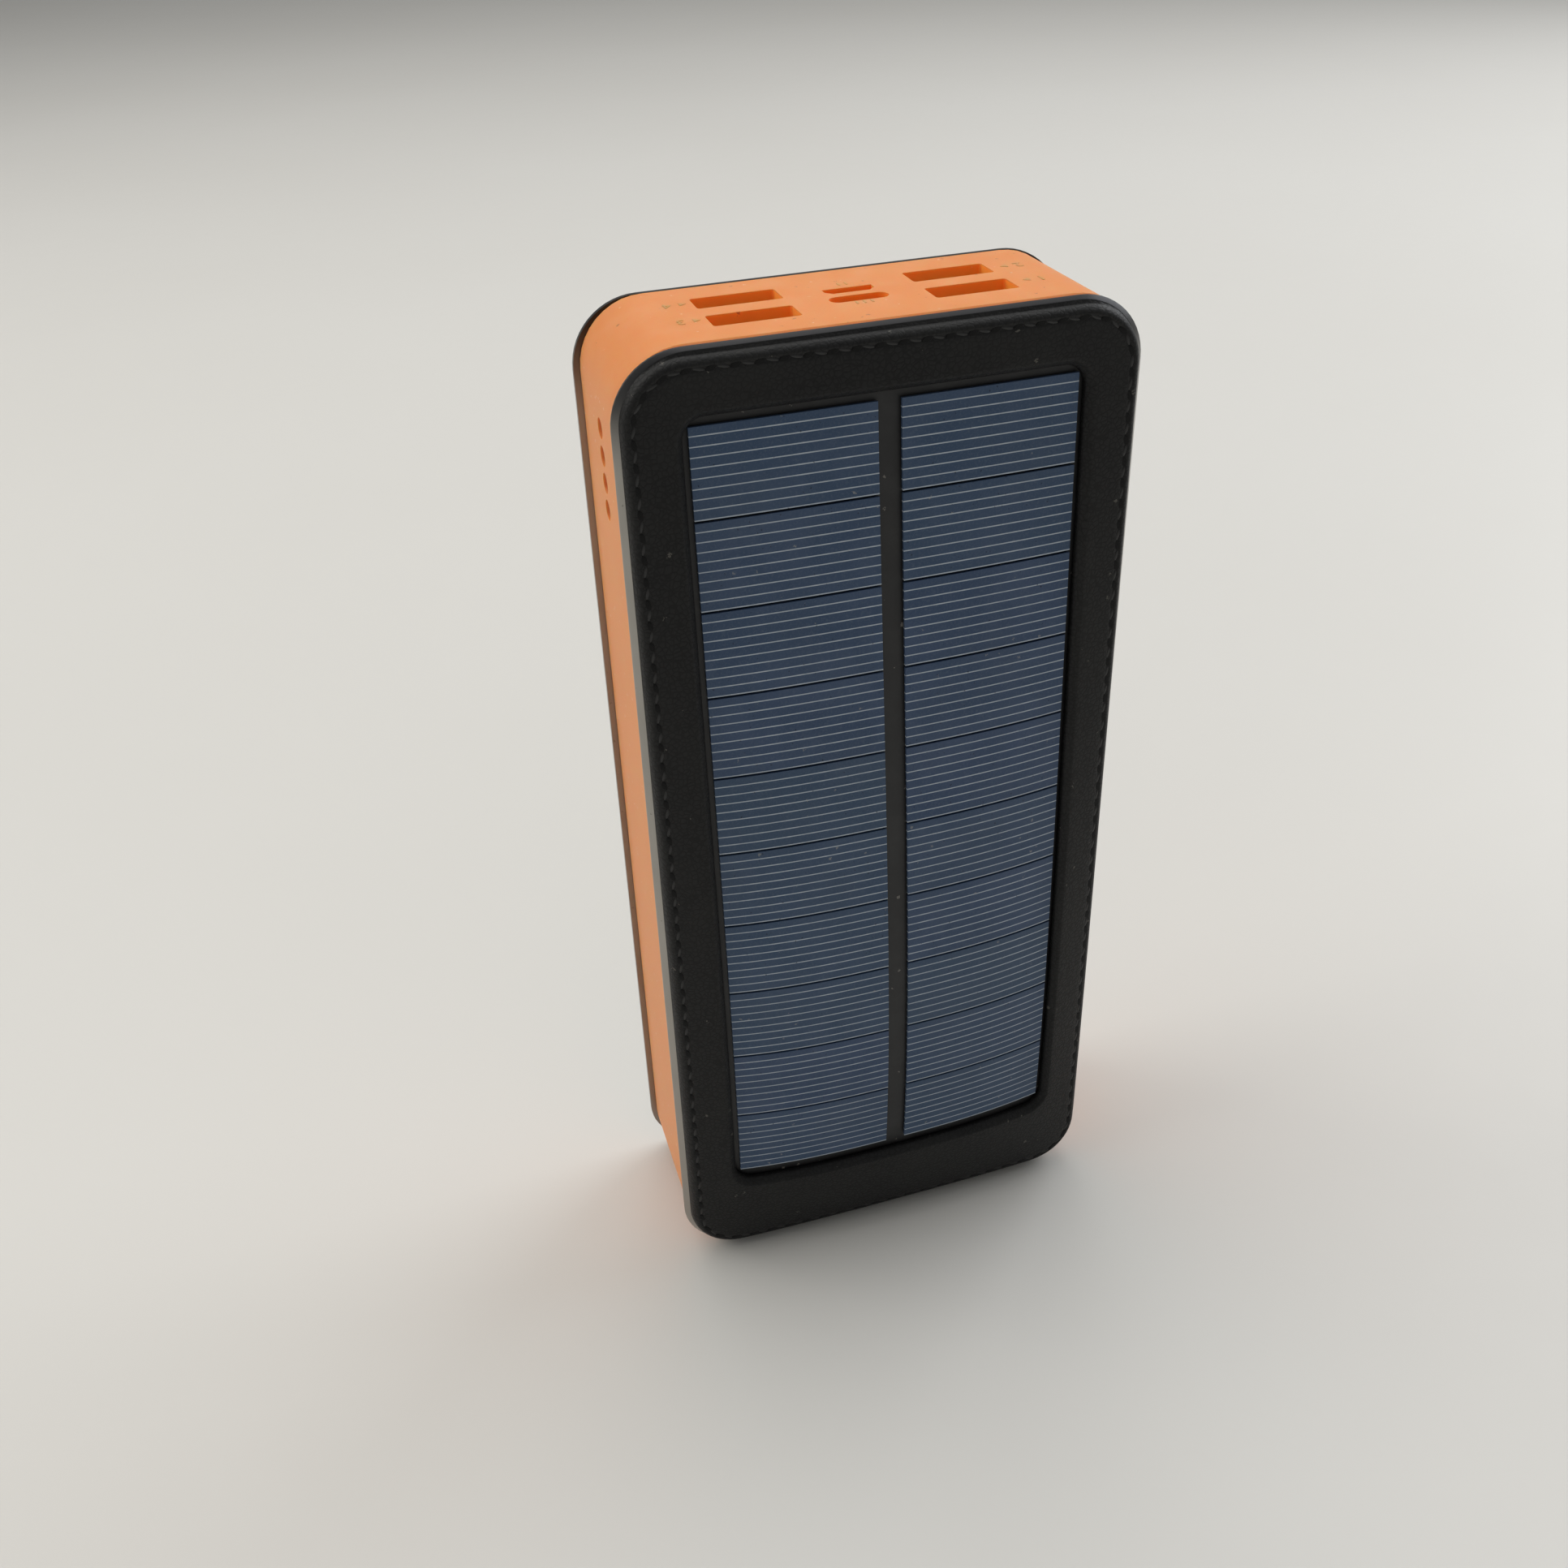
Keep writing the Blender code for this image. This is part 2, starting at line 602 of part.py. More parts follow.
def power_switch():
    """Side button with a flange behind the wall, and the switch it presses."""
    half_y, half_z = BUTTON_HALF
    cap = simple_outline(half_y, half_z, half_y - 0.05 * MM, 6)
    crown = simple_outline(half_y - 0.5 * MM, half_z - 0.5 * MM, half_y - 0.55 * MM, 6)
    flange = simple_outline(half_y + 1.1 * MM, half_z + 1.1 * MM, half_y + 1.05 * MM, 6)
    flange_front = FRAME_INNER_X - GAP
    shape = loft([
        at_x(crown, BUTTON_FACE_X, PCB_Y, BUTTON_Z),
        at_x(cap, BUTTON_FACE_X - 0.4 * MM, PCB_Y, BUTTON_Z),
        at_x(cap, flange_front, PCB_Y, BUTTON_Z),
        at_x(flange, flange_front, PCB_Y, BUTTON_Z),
        at_x(flange, BUTTON_BACK_X, PCB_Y, BUTTON_Z),
    ])
    finish("power_button", shape, BLACK_SKIN)

    body = block(
        (SWITCH_FACE_X - 3.7 * MM, PCB_Y - 2.1 * MM, BUTTON_Z - 3.0 * MM),
        (SWITCH_FACE_X, PCB_Y + 2.1 * MM, BUTTON_Z + 3.0 * MM),
    )
    finish("switch_body", bevel_all(body, 0.25 * MM, 1), CONTACT_BLACK)
    plunger = rod((
        (SWITCH_FACE_X + GAP, PCB_Y, BUTTON_Z), (BUTTON_BACK_X - GAP, PCB_Y, BUTTON_Z)
    ), 1.2 * MM, 16)
    finish("switch_plunger", plunger, PORT_WHITE)


def battery():
    """Two flat pouch cells; the front one has swollen and bows the front."""
    xs, zs, steps = (-POUCH_HALF_X, POUCH_HALF_X), (POUCH_LOW_Z, POUCH_HIGH_Z), (8, 8)
    front = plate(
        xs, zs, lambda x, z: POUCH_FRONT_Y - 0.8 * bow(x, z),
        lambda x, z: POUCH_SPLIT_Y - GAP, steps,
    )
    finish("battery_pouch_front", front, FOIL)
    rear = block(
        (-POUCH_HALF_X, POUCH_SPLIT_Y + GAP, POUCH_LOW_Z), (POUCH_HALF_X, POUCH_REAR_Y, POUCH_HIGH_Z)
    )
    finish("battery_pouch_rear", bevel_all(rear, 1.5 * MM, 3), FOIL)


def lamp():
    """Frosted panel held behind the rear opening, lit by a board of chips."""
    def step(outset, y):
        return at_y(outline(
            LAMP_HALF_X + outset, LAMP_LOW_Z - outset, LAMP_HIGH_Z + outset,
            LAMP_CORNER + outset, 5, 1, 1,
        ), y)
    flange_y = REAR_Y - COVER_SKIN - GAP
    shape = loft([
        step(1.8 * MM, flange_y - 1.0 * MM), step(1.8 * MM, flange_y), step(-GAP, flange_y),
        step(-GAP, REAR_Y - 0.5 * MM), step(-0.6 * MM, REAR_Y - 0.2 * MM),
    ])
    finish("lamp_diffuser", shape, DIFFUSER)

    front, back = flange_y - 3.4 * MM, flange_y - 2.4 * MM
    board = finish("lamp_board", block(
        (-LAMP_HALF_X - 1.0 * MM, front, LAMP_LOW_Z), (LAMP_HALF_X + 1.0 * MM, back, LAMP_HIGH_Z)
    ), PORT_WHITE)
    chips = []
    for column in (-2, -1, 0, 1, 2):
        for level in (135.5 * MM, 147.5 * MM):
            x = column * 9.0 * MM
            chips.append(block(
                (x - 1.4 * MM, back - 0.3 * MM, level - 1.4 * MM),
                (x + 1.4 * MM, back + 0.8 * MM, level + 1.4 * MM),
            ))
    boolean(board, chips, "UNION")


def board_parts():
    """Inductor, controller chip and the two screws that hold the board."""
    rear = PCB_Y + PCB_HALF_THICK + GAP
    front = PCB_Y - PCB_HALF_THICK - GAP
    coil = block((14.0 * MM, rear, 131.0 * MM), (26.0 * MM, rear + 5.0 * MM, 143.0 * MM))
    finish("inductor", bevel_all(coil, 0.8 * MM, 2), FERRITE)
    chip = block((-9.0 * MM, front - 1.2 * MM, 140.0 * MM), (1.0 * MM, front, 150.0 * MM))
    finish("controller_chip", chip, CONTACT_BLACK)
    for number, x in ((1, -SCREW_X), (2, SCREW_X)):
        loops = []
        for radius, y in (
            (1.7 * MM, front - 1.2 * MM), (2.2 * MM, front - 0.8 * MM),
            (2.2 * MM, front), (1.0 * MM, front), (1.0 * MM, PCB_Y + 6.0 * MM),
        ):
            loops.append([
                (x + radius * math.cos(math.pi * k / 8), y, SCREW_Z + radius * math.sin(math.pi * k / 8))
                for k in range(16)
            ])
        finish("board_screw_%d" % number, loft(loops), STEEL)


def twin_lead(name, x, path, half_width, radius, look):
    """Two-core flat lead swept along a curved path in one Y-Z plane."""
    section = simple_outline(half_width, radius, radius - 0.02 * MM, 3)
    (y0, z0), (y1, z1), (y2, z2), (y3, z3) = path
    steps = 12
    loops = []
    for step in range(steps + 1):
        t = step / steps
        a, b, c, d = (1 - t) ** 3, 3 * t * (1 - t) ** 2, 3 * t * t * (1 - t), t ** 3
        y = a * y0 + b * y1 + c * y2 + d * y3
        z = a * z0 + b * z1 + c * z2 + d * z3
        dy = 3 * ((1 - t) ** 2 * (y1 - y0) + 2 * t * (1 - t) * (y2 - y1) + t * t * (y3 - y2))
        dz = 3 * ((1 - t) ** 2 * (z1 - z0) + 2 * t * (1 - t) * (z2 - z1) + t * t * (z3 - z2))
        length = math.hypot(dy, dz)
        ny, nz = -dz / length, dy / length
        loops.append([(x + across, y + up * ny, z + up * nz) for across, up in section])
    finish(name, loft(loops), look)


def leads():
    """Flat leads from the solar board, the battery and the lamp to the board."""
    front = PCB_Y - PCB_HALF_THICK - GAP
    rear = PCB_Y + PCB_HALF_THICK + GAP
    solar_x = 12.0 * MM
    start = front_y(solar_x, 138.0 * MM, COVER_SKIN + GAP + BOARD_THICK) + GAP + 0.1 * MM
    path = ((start, 138.0 * MM), (start + 5.0 * MM, 138.0 * MM),
            (front - 5.0 * MM, 146.0 * MM), (front, 146.0 * MM))
    twin_lead("solar_lead", solar_x, path, 1.4 * MM, 0.7 * MM, LEAD_RED)
    tab_y = 0.5 * (POUCH_SPLIT_Y + POUCH_REAR_Y)
    path = ((tab_y, POUCH_HIGH_Z + GAP), (tab_y, 128.0 * MM),
            (rear + 4.0 * MM, 131.5 * MM), (rear, 131.5 * MM))
    twin_lead("battery_lead", -20.0 * MM, path, 1.8 * MM, 0.9 * MM, LEAD_RED)
    lamp_back = REAR_Y - COVER_SKIN - GAP - 3.4 * MM - GAP
    path = ((lamp_back, 134.0 * MM), (lamp_back - 4.0 * MM, 134.0 * MM),
            (rear + 4.0 * MM, 140.0 * MM), (rear, 140.0 * MM))
    twin_lead("lamp_lead", -8.0 * MM, path, 1.2 * MM, 0.6 * MM, LEAD_RED)


def build():
    clear_scene()
    middle_frame()
    front_cover()
    rear_cover()
    solar_panel()
    main_board()
    ports()
    indicators()
    power_switch()
    battery()
    lamp()
    board_parts()
    leads()


build()
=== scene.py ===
"""Solar power bank: finishes and fine detail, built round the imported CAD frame."""
import math

import bmesh
import bpy
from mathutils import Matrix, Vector


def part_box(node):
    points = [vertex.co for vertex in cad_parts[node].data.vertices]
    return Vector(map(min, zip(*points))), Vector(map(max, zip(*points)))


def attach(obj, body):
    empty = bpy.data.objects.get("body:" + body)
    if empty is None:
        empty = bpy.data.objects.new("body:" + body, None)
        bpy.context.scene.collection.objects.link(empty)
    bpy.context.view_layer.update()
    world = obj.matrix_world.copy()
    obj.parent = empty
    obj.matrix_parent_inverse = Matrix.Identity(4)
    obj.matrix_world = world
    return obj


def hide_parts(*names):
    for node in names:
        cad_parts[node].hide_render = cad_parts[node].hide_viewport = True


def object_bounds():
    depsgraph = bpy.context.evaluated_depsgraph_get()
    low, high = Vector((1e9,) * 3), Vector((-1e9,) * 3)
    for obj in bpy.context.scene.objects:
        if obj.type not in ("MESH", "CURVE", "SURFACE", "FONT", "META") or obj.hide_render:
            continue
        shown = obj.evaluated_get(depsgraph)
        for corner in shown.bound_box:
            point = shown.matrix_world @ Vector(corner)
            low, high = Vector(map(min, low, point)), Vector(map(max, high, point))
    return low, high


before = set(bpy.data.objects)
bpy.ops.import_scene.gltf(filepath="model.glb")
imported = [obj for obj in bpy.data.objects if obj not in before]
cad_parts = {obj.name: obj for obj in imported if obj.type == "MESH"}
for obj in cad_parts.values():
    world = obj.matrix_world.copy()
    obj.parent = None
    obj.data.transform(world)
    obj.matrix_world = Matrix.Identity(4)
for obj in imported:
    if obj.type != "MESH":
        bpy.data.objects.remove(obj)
cad_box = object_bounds()


# Circuit board: green glass fibre with tinned pads and copper tracks under the mask. It lies
# between the two rows of ports and is held by two screws, with an inductor and a chip soldered on.
MM = 0.001


class Value:
    """One socket of a node, so that masks and sums read as plain arithmetic."""

    def __init__(self, nodes, socket):
        self.nodes = nodes
        self.socket = socket

    def maths(self, operation, *terms):
        return self.nodes.add("ShaderNodeMath", {"operation": operation}, terms)

    def __add__(self, other):
        return self.maths("ADD", self, other)

    def __radd__(self, other):
        return self.maths("ADD", other, self)

    def __sub__(self, other):
        return self.maths("SUBTRACT", self, other)

    def __rsub__(self, other):
        return self.maths("SUBTRACT", other, self)

    def __mul__(self, other):
        return self.maths("MULTIPLY", self, other)

    def __rmul__(self, other):
        return self.maths("MULTIPLY", other, self)

    def __truediv__(self, other):
        return self.maths("DIVIDE", self, other)

    def part(self):
        """What is left after the whole number is taken off."""
        return self.maths("FRACT", self)

    def whole(self):
        return self.maths("FLOOR", self)

    def size(self):
        return self.maths("ABSOLUTE", self)

    def above(self, limit):
        return self.maths("GREATER_THAN", self, limit)

    def ramp(self, low, high):
        """0 below low, 1 above high, and a smooth rise between them."""
        return self.nodes.add(
            "ShaderNodeMapRange", {"interpolation_type": "SMOOTHSTEP"}, (self, low, high)
        )


class Nodes:
    """A node tree that is filled one node at a time."""

    def __init__(self, tree):
        self.tree = tree

    def add(self, kind, settings=None, sockets=(), out=0):
        """Add a node: its settings first, then what its sockets hold or are fed by."""
        node = self.tree.nodes.new(kind)
        for key, setting in (settings or {}).items():
            setattr(node, key, setting)
        pairs = sockets.items() if isinstance(sockets, dict) else enumerate(sockets)
        for key, value in pairs:
            self.feed(node.inputs[key], value)
        return Value(self, node.outputs[out])

    def feed(self, socket, value):
        if isinstance(value, Value):
            self.tree.links.new(value.socket, socket)
        else:
            socket.default_value = value


class Finish(Nodes):
    """A material whose pattern is laid out in the object's own coordinates."""

    def __init__(self, name, **constants):
        self.material = bpy.data.materials.new(name)
        self.material.use_nodes = True
        super().__init__(self.material.node_tree)
        self.shader = self.tree.nodes["Principled BSDF"]
        for key, constant in constants.items():
            self.shader.inputs[key.replace("_", " ")].default_value = constant
        self.place = self.add("ShaderNodeTexCoord", out="Object")

    def axes(self):
        """The place as three separate numbers, in metres."""
        split = self.add("ShaderNodeSeparateXYZ", None, (self.place,)).socket.node
        return [Value(self, socket) for socket in split.outputs]

    def stretched(self, x, y, z):
        return self.add(
            "ShaderNodeVectorMath", {"operation": "MULTIPLY"}, (self.place, (x, y, z))
        )

    def noise(self, size, detail=2.0, rough=0.5, place=None, out="Fac"):
        """Soft random pattern whose features are about size across."""
        sockets = {
            "Vector": place or self.place, "Scale": 1.0 / size, "Detail": detail, "Roughness": rough
        }
        return self.add("ShaderNodeTexNoise", None, sockets, out)

    def pushed(self, place, size, reach):
        """The same place, pushed about by a soft pattern so that outlines turn irregular."""
        push = self.noise(size, 2.0, 0.6, place, "Color")
        push = self.add("ShaderNodeVectorMath", {"operation": "SCALE"}, {0: push, "Scale": reach})
        return self.add("ShaderNodeVectorMath", {"operation": "ADD"}, (place, push))

    def cells(self, size, feature="F1", place=None, out="Distance", order=1.0):
        """Random cells that are about size across."""
        sockets = {"Vector": place or self.place, "Scale": 1.0 / size, "Randomness": order}
        return self.add("ShaderNodeTexVoronoi", {"feature": feature}, sockets, out)

    def blend(self, first, second, share):
        """Colour between two colours."""
        ends = [c if isinstance(c, Value) else (*c, 1.0) for c in (first, second)]
        return self.add(
            "ShaderNodeMix", {"data_type": "RGBA"}, {0: share, 6: ends[0], 7: ends[1]}, 2
        )

    def specks(self, size, share, seed):
        """Mask of small scattered flecks that cover roughly this share of the cells."""
        moved = self.add(
            "ShaderNodeVectorMath", {"operation": "ADD"}, (self.place, (seed, seed, seed))
        )
        moved = self.pushed(moved, 0.3 * size, 0.9 * size)
        near = self.cells(size, place=moved)
        chosen = self.cells(size, place=moved, out="Color")
        picked = self.add("ShaderNodeSeparateColor", None, (chosen,), 0)
        reach = self.add("ShaderNodeSeparateColor", None, (chosen,), 1)
        dot = 1.0 - (near / (reach * 0.22 + 0.05)).ramp(0.75, 1.0)
        return dot * picked.above(1.0 - share)

    def done(self, colour=None, roughness=None, height=None, relief=0.0, strength=1.0):
        """Wire the pattern to the shader; relief is the height in metres of the bump."""
        if colour is not None:
            self.feed(self.shader.inputs["Base Color"], colour)
        if roughness is not None:
            self.feed(self.shader.inputs["Roughness"], roughness)
        if height is not None:
            normal = self.add("ShaderNodeBump", None, {
                "Strength": strength, "Distance": relief, "Height": height
            })
            self.feed(self.shader.inputs["Normal"], normal)
        return self.material


def solder_mask():
    paint = Finish("solder_mask")
    across, _, up = paint.axes()
    track_x = ((across / (1.27 * MM)).part() - 0.5).size().ramp(0.16, 0.2)
    track_z = ((up / (1.27 * MM)).part() - 0.5).size().ramp(0.16, 0.2)
    lie = paint.cells(9.0 * MM, out="Color")
    turn = paint.add("ShaderNodeSeparateColor", None, (lie,), 0).above(0.5)
    track = 1.0 - (track_x * turn + track_z * (1.0 - turn))
    copper = track * paint.noise(7.0 * MM, 1.0).ramp(0.48, 0.52)
    pad = 1.0 - paint.cells(2.6 * MM, order=0.3).ramp(0.16, 0.2)
    pad = pad * paint.noise(11.0 * MM, 1.0).ramp(0.55, 0.58)
    green = paint.blend((0.012, 0.11, 0.045), (0.03, 0.2, 0.085), copper)
    green = paint.blend(green, (0.62, 0.61, 0.58), pad)
    gloss = 0.42 - pad * 0.15 + paint.noise(0.6 * MM) * 0.1
    return paint.done(green, gloss, copper * 0.5 + pad, 0.04 * MM)


def moulded_black(name="moulded_black", shade=0.02):
    """Hard black plastic with the fine matt texture of a spark-eroded mould."""
    paint = Finish(name)
    grain = paint.noise(0.12 * MM, 3.0, 0.6)
    worn = paint.noise(4.0 * MM, 3.0).ramp(0.5, 0.75)
    dark = paint.blend((shade,) * 3, (shade * 2.2,) * 3, worn * 0.5)
    dark = paint.blend(dark, (0.25, 0.24, 0.22), paint.specks(1.1 * MM, 0.12, 0.31))
    return paint.done(dark, 0.4 + grain * 0.2, grain, 0.02 * MM, 0.6)


def ferrite():
    """Pressed ferrite powder: dull, slightly brown, with pores painted near black as painted shade."""
    paint = Finish("ferrite")
    pore = 1.0 - paint.cells(0.35 * MM).ramp(0.1, 0.3)
    grain = paint.noise(0.2 * MM, 4.0, 0.65)
    grey = paint.blend((0.05, 0.048, 0.047), (0.095, 0.09, 0.088), grain)
    # Painted shade: the pores that the bump sinks are painted near black.
    grey = paint.blend(grey, (0.015, 0.014, 0.014), pore)
    return paint.done(grey, 0.55 + grain * 0.25, grain - pore, 0.05 * MM)


def plated_steel(name="plated_steel", tint=(0.6, 0.6, 0.61)):
    """Nickel-plated sheet with the faint lines of rolling."""
    paint = Finish(name, Metallic=1.0)
    lines = paint.noise(0.05 * MM, 2.0, place=paint.stretched(1.0, 1.0, 0.04))
    smear = paint.noise(3.0 * MM, 3.0)
    dull = tuple(0.72 * part for part in tint)
    metal = paint.blend(tint, dull, smear.ramp(0.45, 0.7))
    return paint.done(metal, 0.22 + lines * 0.12 + smear * 0.12, lines, 0.006 * MM, 0.5)


def use(node, material):
    """Give a CAD node that stays its finish."""
    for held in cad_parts[node].material_slots:
        held.material = material


black_plastic = moulded_black()
steel = plated_steel()
use("main_board", solder_mask())
use("controller_chip", black_plastic)
use("inductor", ferrite())
use("board_screw_1", steel)
use("board_screw_2", steel)


# Leads: pairs of stranded wires in soft red jackets, from the solar board, the battery and the
# lamp board. They are cut to length and soldered at both ends.
def lead_jacket():
    paint = Finish("lead_jacket", Specular_IOR_Level=0.4)
    scuff = paint.noise(1.2 * MM, 3.0)
    red = paint.blend((0.42, 0.02, 0.014), (0.55, 0.05, 0.035), scuff)
    return paint.done(red, 0.42 + scuff * 0.2, paint.noise(0.25 * MM, 3.0), 0.02 * MM, 0.5)


jacket = lead_jacket()
for lead in ("solar_lead", "battery_lead", "lamp_lead"):
    use(lead, jacket)


# Battery: two lithium pouches in aluminium laminate, taped one behind the other. The front one
# has swollen, so its foil is tight in the middle and creased towards its sealed edges.
def pouch_foil():
    paint = Finish("pouch_foil", Metallic=0.85)
    crease = paint.noise(6.0 * MM, 5.0, 0.6, paint.stretched(1.0, 1.0, 0.35))
    fold = paint.cells(14.0 * MM, "DISTANCE_TO_EDGE").ramp(0.0, 0.08)
    silver = paint.blend((0.5, 0.51, 0.53), (0.66, 0.67, 0.69), crease)
    return paint.done(silver, 0.3 + crease * 0.2, crease + fold * 0.35, 0.35 * MM, 0.7)


foil = pouch_foil()
use("battery_pouch_front", foil)
use("battery_pouch_rear", foil)


# Ports: four output and two input receptacles, each a folded steel shell round a plastic tongue
# that carries gold-plated contacts. All six are soldered to the board.
def rounded_copy(name, node, radius, segments=2, corner=28.0):
    """Copy of a CAD solid with its edges rounded, which stands for that solid."""
    shape = bmesh.new()
    shape.from_mesh(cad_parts[node].data)
    bmesh.ops.remove_doubles(shape, verts=shape.verts[:], dist=0.001 * MM)
    bmesh.ops.dissolve_limit(
        shape, angle_limit=math.radians(0.3), verts=shape.verts[:], edges=shape.edges[:]
    )
    mesh = bpy.data.meshes.new(name)
    shape.to_mesh(mesh)
    shape.free()
    mesh.shade_smooth()
    mesh.set_sharp_from_angle(angle=math.radians(corner))
    piece = bpy.data.objects.new(name, mesh)
    bpy.context.scene.collection.objects.link(piece)
    edge = piece.modifiers.new("edge", "BEVEL")
    edge.width = radius
    edge.segments = segments
    edge.limit_method = "ANGLE"
    edge.angle_limit = math.radians(corner)
    edge.harden_normals = True
    flatten(piece)
    return piece


def flatten(piece):
    """Turn a piece with its modifiers into a plain mesh."""
    depsgraph = bpy.context.evaluated_depsgraph_get()
    mesh = bpy.data.meshes.new_from_object(piece.evaluated_get(depsgraph))
    piece.modifiers.clear()
    piece.data = mesh
    mesh.name = piece.name


def settle(piece, body, slot, *materials, nodes=()):
    """Give a piece its finishes, the body it moves with and the solids it stands for."""
    if piece.data.materials:
        piece.data.materials.clear()
    for material in materials:
        piece.data.materials.append(material)
    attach(piece, body)
    if nodes:
        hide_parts(*nodes)


class Recipe(Nodes):
    """A geometry node tree with named inputs for its sizes."""

    def __init__(self, name, **inputs):
        super().__init__(bpy.data.node_groups.new(name, "GeometryNodeTree"))
        face = self.tree.interface
        face.new_socket("Geometry", in_out="INPUT", socket_type="NodeSocketGeometry")
        self.names = {}
        for key, kind in inputs.items():
            made = face.new_socket(key, in_out="INPUT", socket_type="NodeSocket" + kind)
            self.names[key] = made.identifier
        face.new_socket("Geometry", in_out="OUTPUT", socket_type="NodeSocketGeometry")
        self.entry = self.tree.nodes.new("NodeGroupInput")

    def __getitem__(self, key):
        return Value(self, self.entry.outputs[key])

    def end(self, geometry):
        """Close the tree with real geometry in place of instances."""
        real = self.add("GeometryNodeRealizeInstances", None, (geometry,))
        self.feed(self.tree.nodes.new("NodeGroupOutput").inputs["Geometry"], real)

    def grow(self, name, start, **sizes):
        """Run the tree on a mesh and keep what it makes as a plain mesh."""
        piece = bpy.data.objects.new(name, start)
        bpy.context.scene.collection.objects.link(piece)
        modifier = piece.modifiers.new("grow", "NODES")
        modifier.node_group = self.tree
        for key, size in sizes.items():
            modifier[self.names[key]] = size
        flatten(piece)
        return piece


def contact_strips():
    """A row of flat contacts: count of them, one step apart, each of the same size."""
    row = Recipe(
        "contact_strips", Count="Int", Start="Vector", Step="Vector", Size="Vector",
        Metal="Material",
    )
    line = row.add("GeometryNodeMeshLine", {"mode": "OFFSET"}, {
        "Count": row["Count"], "Start Location": row["Start"], "Offset": row["Step"]
    })
    strip = row.add("GeometryNodeMeshCube", None, {"Size": row["Size"]})
    placed = row.add("GeometryNodeInstanceOnPoints", None, {"Points": line, "Instance": strip})
    row.end(row.add("GeometryNodeSetMaterial", None, {
        "Geometry": placed, "Material": row["Metal"]
    }))
    return row


def port_plastic(name, pale, stain):
    """Smooth heat-proof plastic with a little dirt from plugging in."""
    paint = Finish(name)
    dirt = paint.noise(2.0 * MM, 4.0, 0.6).ramp(0.5, 0.8)
    colour = paint.blend(pale, stain, dirt * 0.6)
    return paint.done(colour, 0.38 + dirt * 0.25, paint.noise(0.15 * MM, 2.0), 0.01 * MM, 0.5)


white_plastic = port_plastic("white_plastic", (0.78, 0.78, 0.75), (0.5, 0.47, 0.4))
black_tongue = port_plastic("black_tongue", (0.022, 0.022, 0.023), (0.06, 0.055, 0.05))
gold = plated_steel("gold_plating", (0.83, 0.6, 0.27))
strips = contact_strips()
empty_mesh = bpy.data.meshes.new("empty_mesh")
outputs = tuple("usb_a_%s_" + str(number) for number in (1, 2, 3, 4))
SHEET_ROUND, TONGUE_ROUND = 0.08 * MM, 0.15 * MM
STRIP_LIFT = 0.06 * MM
STRIP_END_GAP = 0.7 * MM
OUTPUT_STRIPS = (4, 2.4 * MM, 1.0 * MM, 6.5 * MM)
ROUND_INPUT_STRIPS = (10, 0.6 * MM, 0.28 * MM, 3.2 * MM)
MICRO_INPUT_STRIPS = (5, 0.75 * MM, 0.35 * MM, 3.0 * MM)
for label in (*outputs, "usb_c_%s", "micro_usb_%s"):
    shell, tongue = label % "shell", label % "tongue"
    casing = rounded_copy(shell + "_sheet", shell, SHEET_ROUND)
    settle(casing, "housing", "port_steel", steel, nodes=(shell,))
    is_output = label in outputs
    block = rounded_copy(tongue + "_moulding", tongue, TONGUE_ROUND)
    plastic = white_plastic if is_output else black_tongue
    settle(
        block, "housing", "white_plastic" if is_output else "black_plastic", plastic,
        nodes=(tongue,)
    )
    low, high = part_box(tongue)
    shell_low, shell_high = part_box(shell)
    nearer_rear = low.y + high.y > shell_low.y + shell_high.y
    face, outwards = low.y, -1.0
    if is_output:
        count, pitch, width, length = OUTPUT_STRIPS
        if not nearer_rear:
            face, outwards = high.y, 1.0
    elif label == "usb_c_%s":
        count, pitch, width, length = ROUND_INPUT_STRIPS
    else:
        count, pitch, width, length = MICRO_INPUT_STRIPS
    middle = 0.5 * (low.x + high.x)
    start = (
        middle - 0.5 * (count - 1) * pitch, face + outwards * 0.2 * STRIP_LIFT,
        high.z - STRIP_END_GAP - 0.5 * length,
    )
    row = strips.grow(tongue + "_contacts", empty_mesh, **{
        "Count": count, "Start": start, "Step": (pitch, 0.0, 0.0),
        "Size": (width, STRIP_LIFT, length), "Metal": gold,
    })
    settle(row, "housing", "port_steel", gold)


# Middle frame: one ring of orange soft-touch plastic, moulded in one shot with the port slots,
# the indicator holes and the button opening. Raised figures and arrows stand by the ports.
frame_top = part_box("middle_frame")[1].z
SLOT_MIDDLE_Y = 2.75 * MM
SLOT_HALF_X, SLOT_HALF_Y = 26.0 * MM, 8.2 * MM
SLOT_FROM_TOP = 0.25 * MM
FRAME_ROUND = 0.22 * MM
RAISE = 0.06 * MM
SETTLED = 0.5 * MM
FIGURE_TALL = 3.0 * MM
ARROW_REACH, ARROW_LONG, ARROW_HALF = 3.0 * MM, 1.1 * MM, 0.7 * MM
MARK_STEP, MARK_HALF_X, MARK_HALF_Y = 1.2 * MM, 0.15 * MM, 0.6 * MM


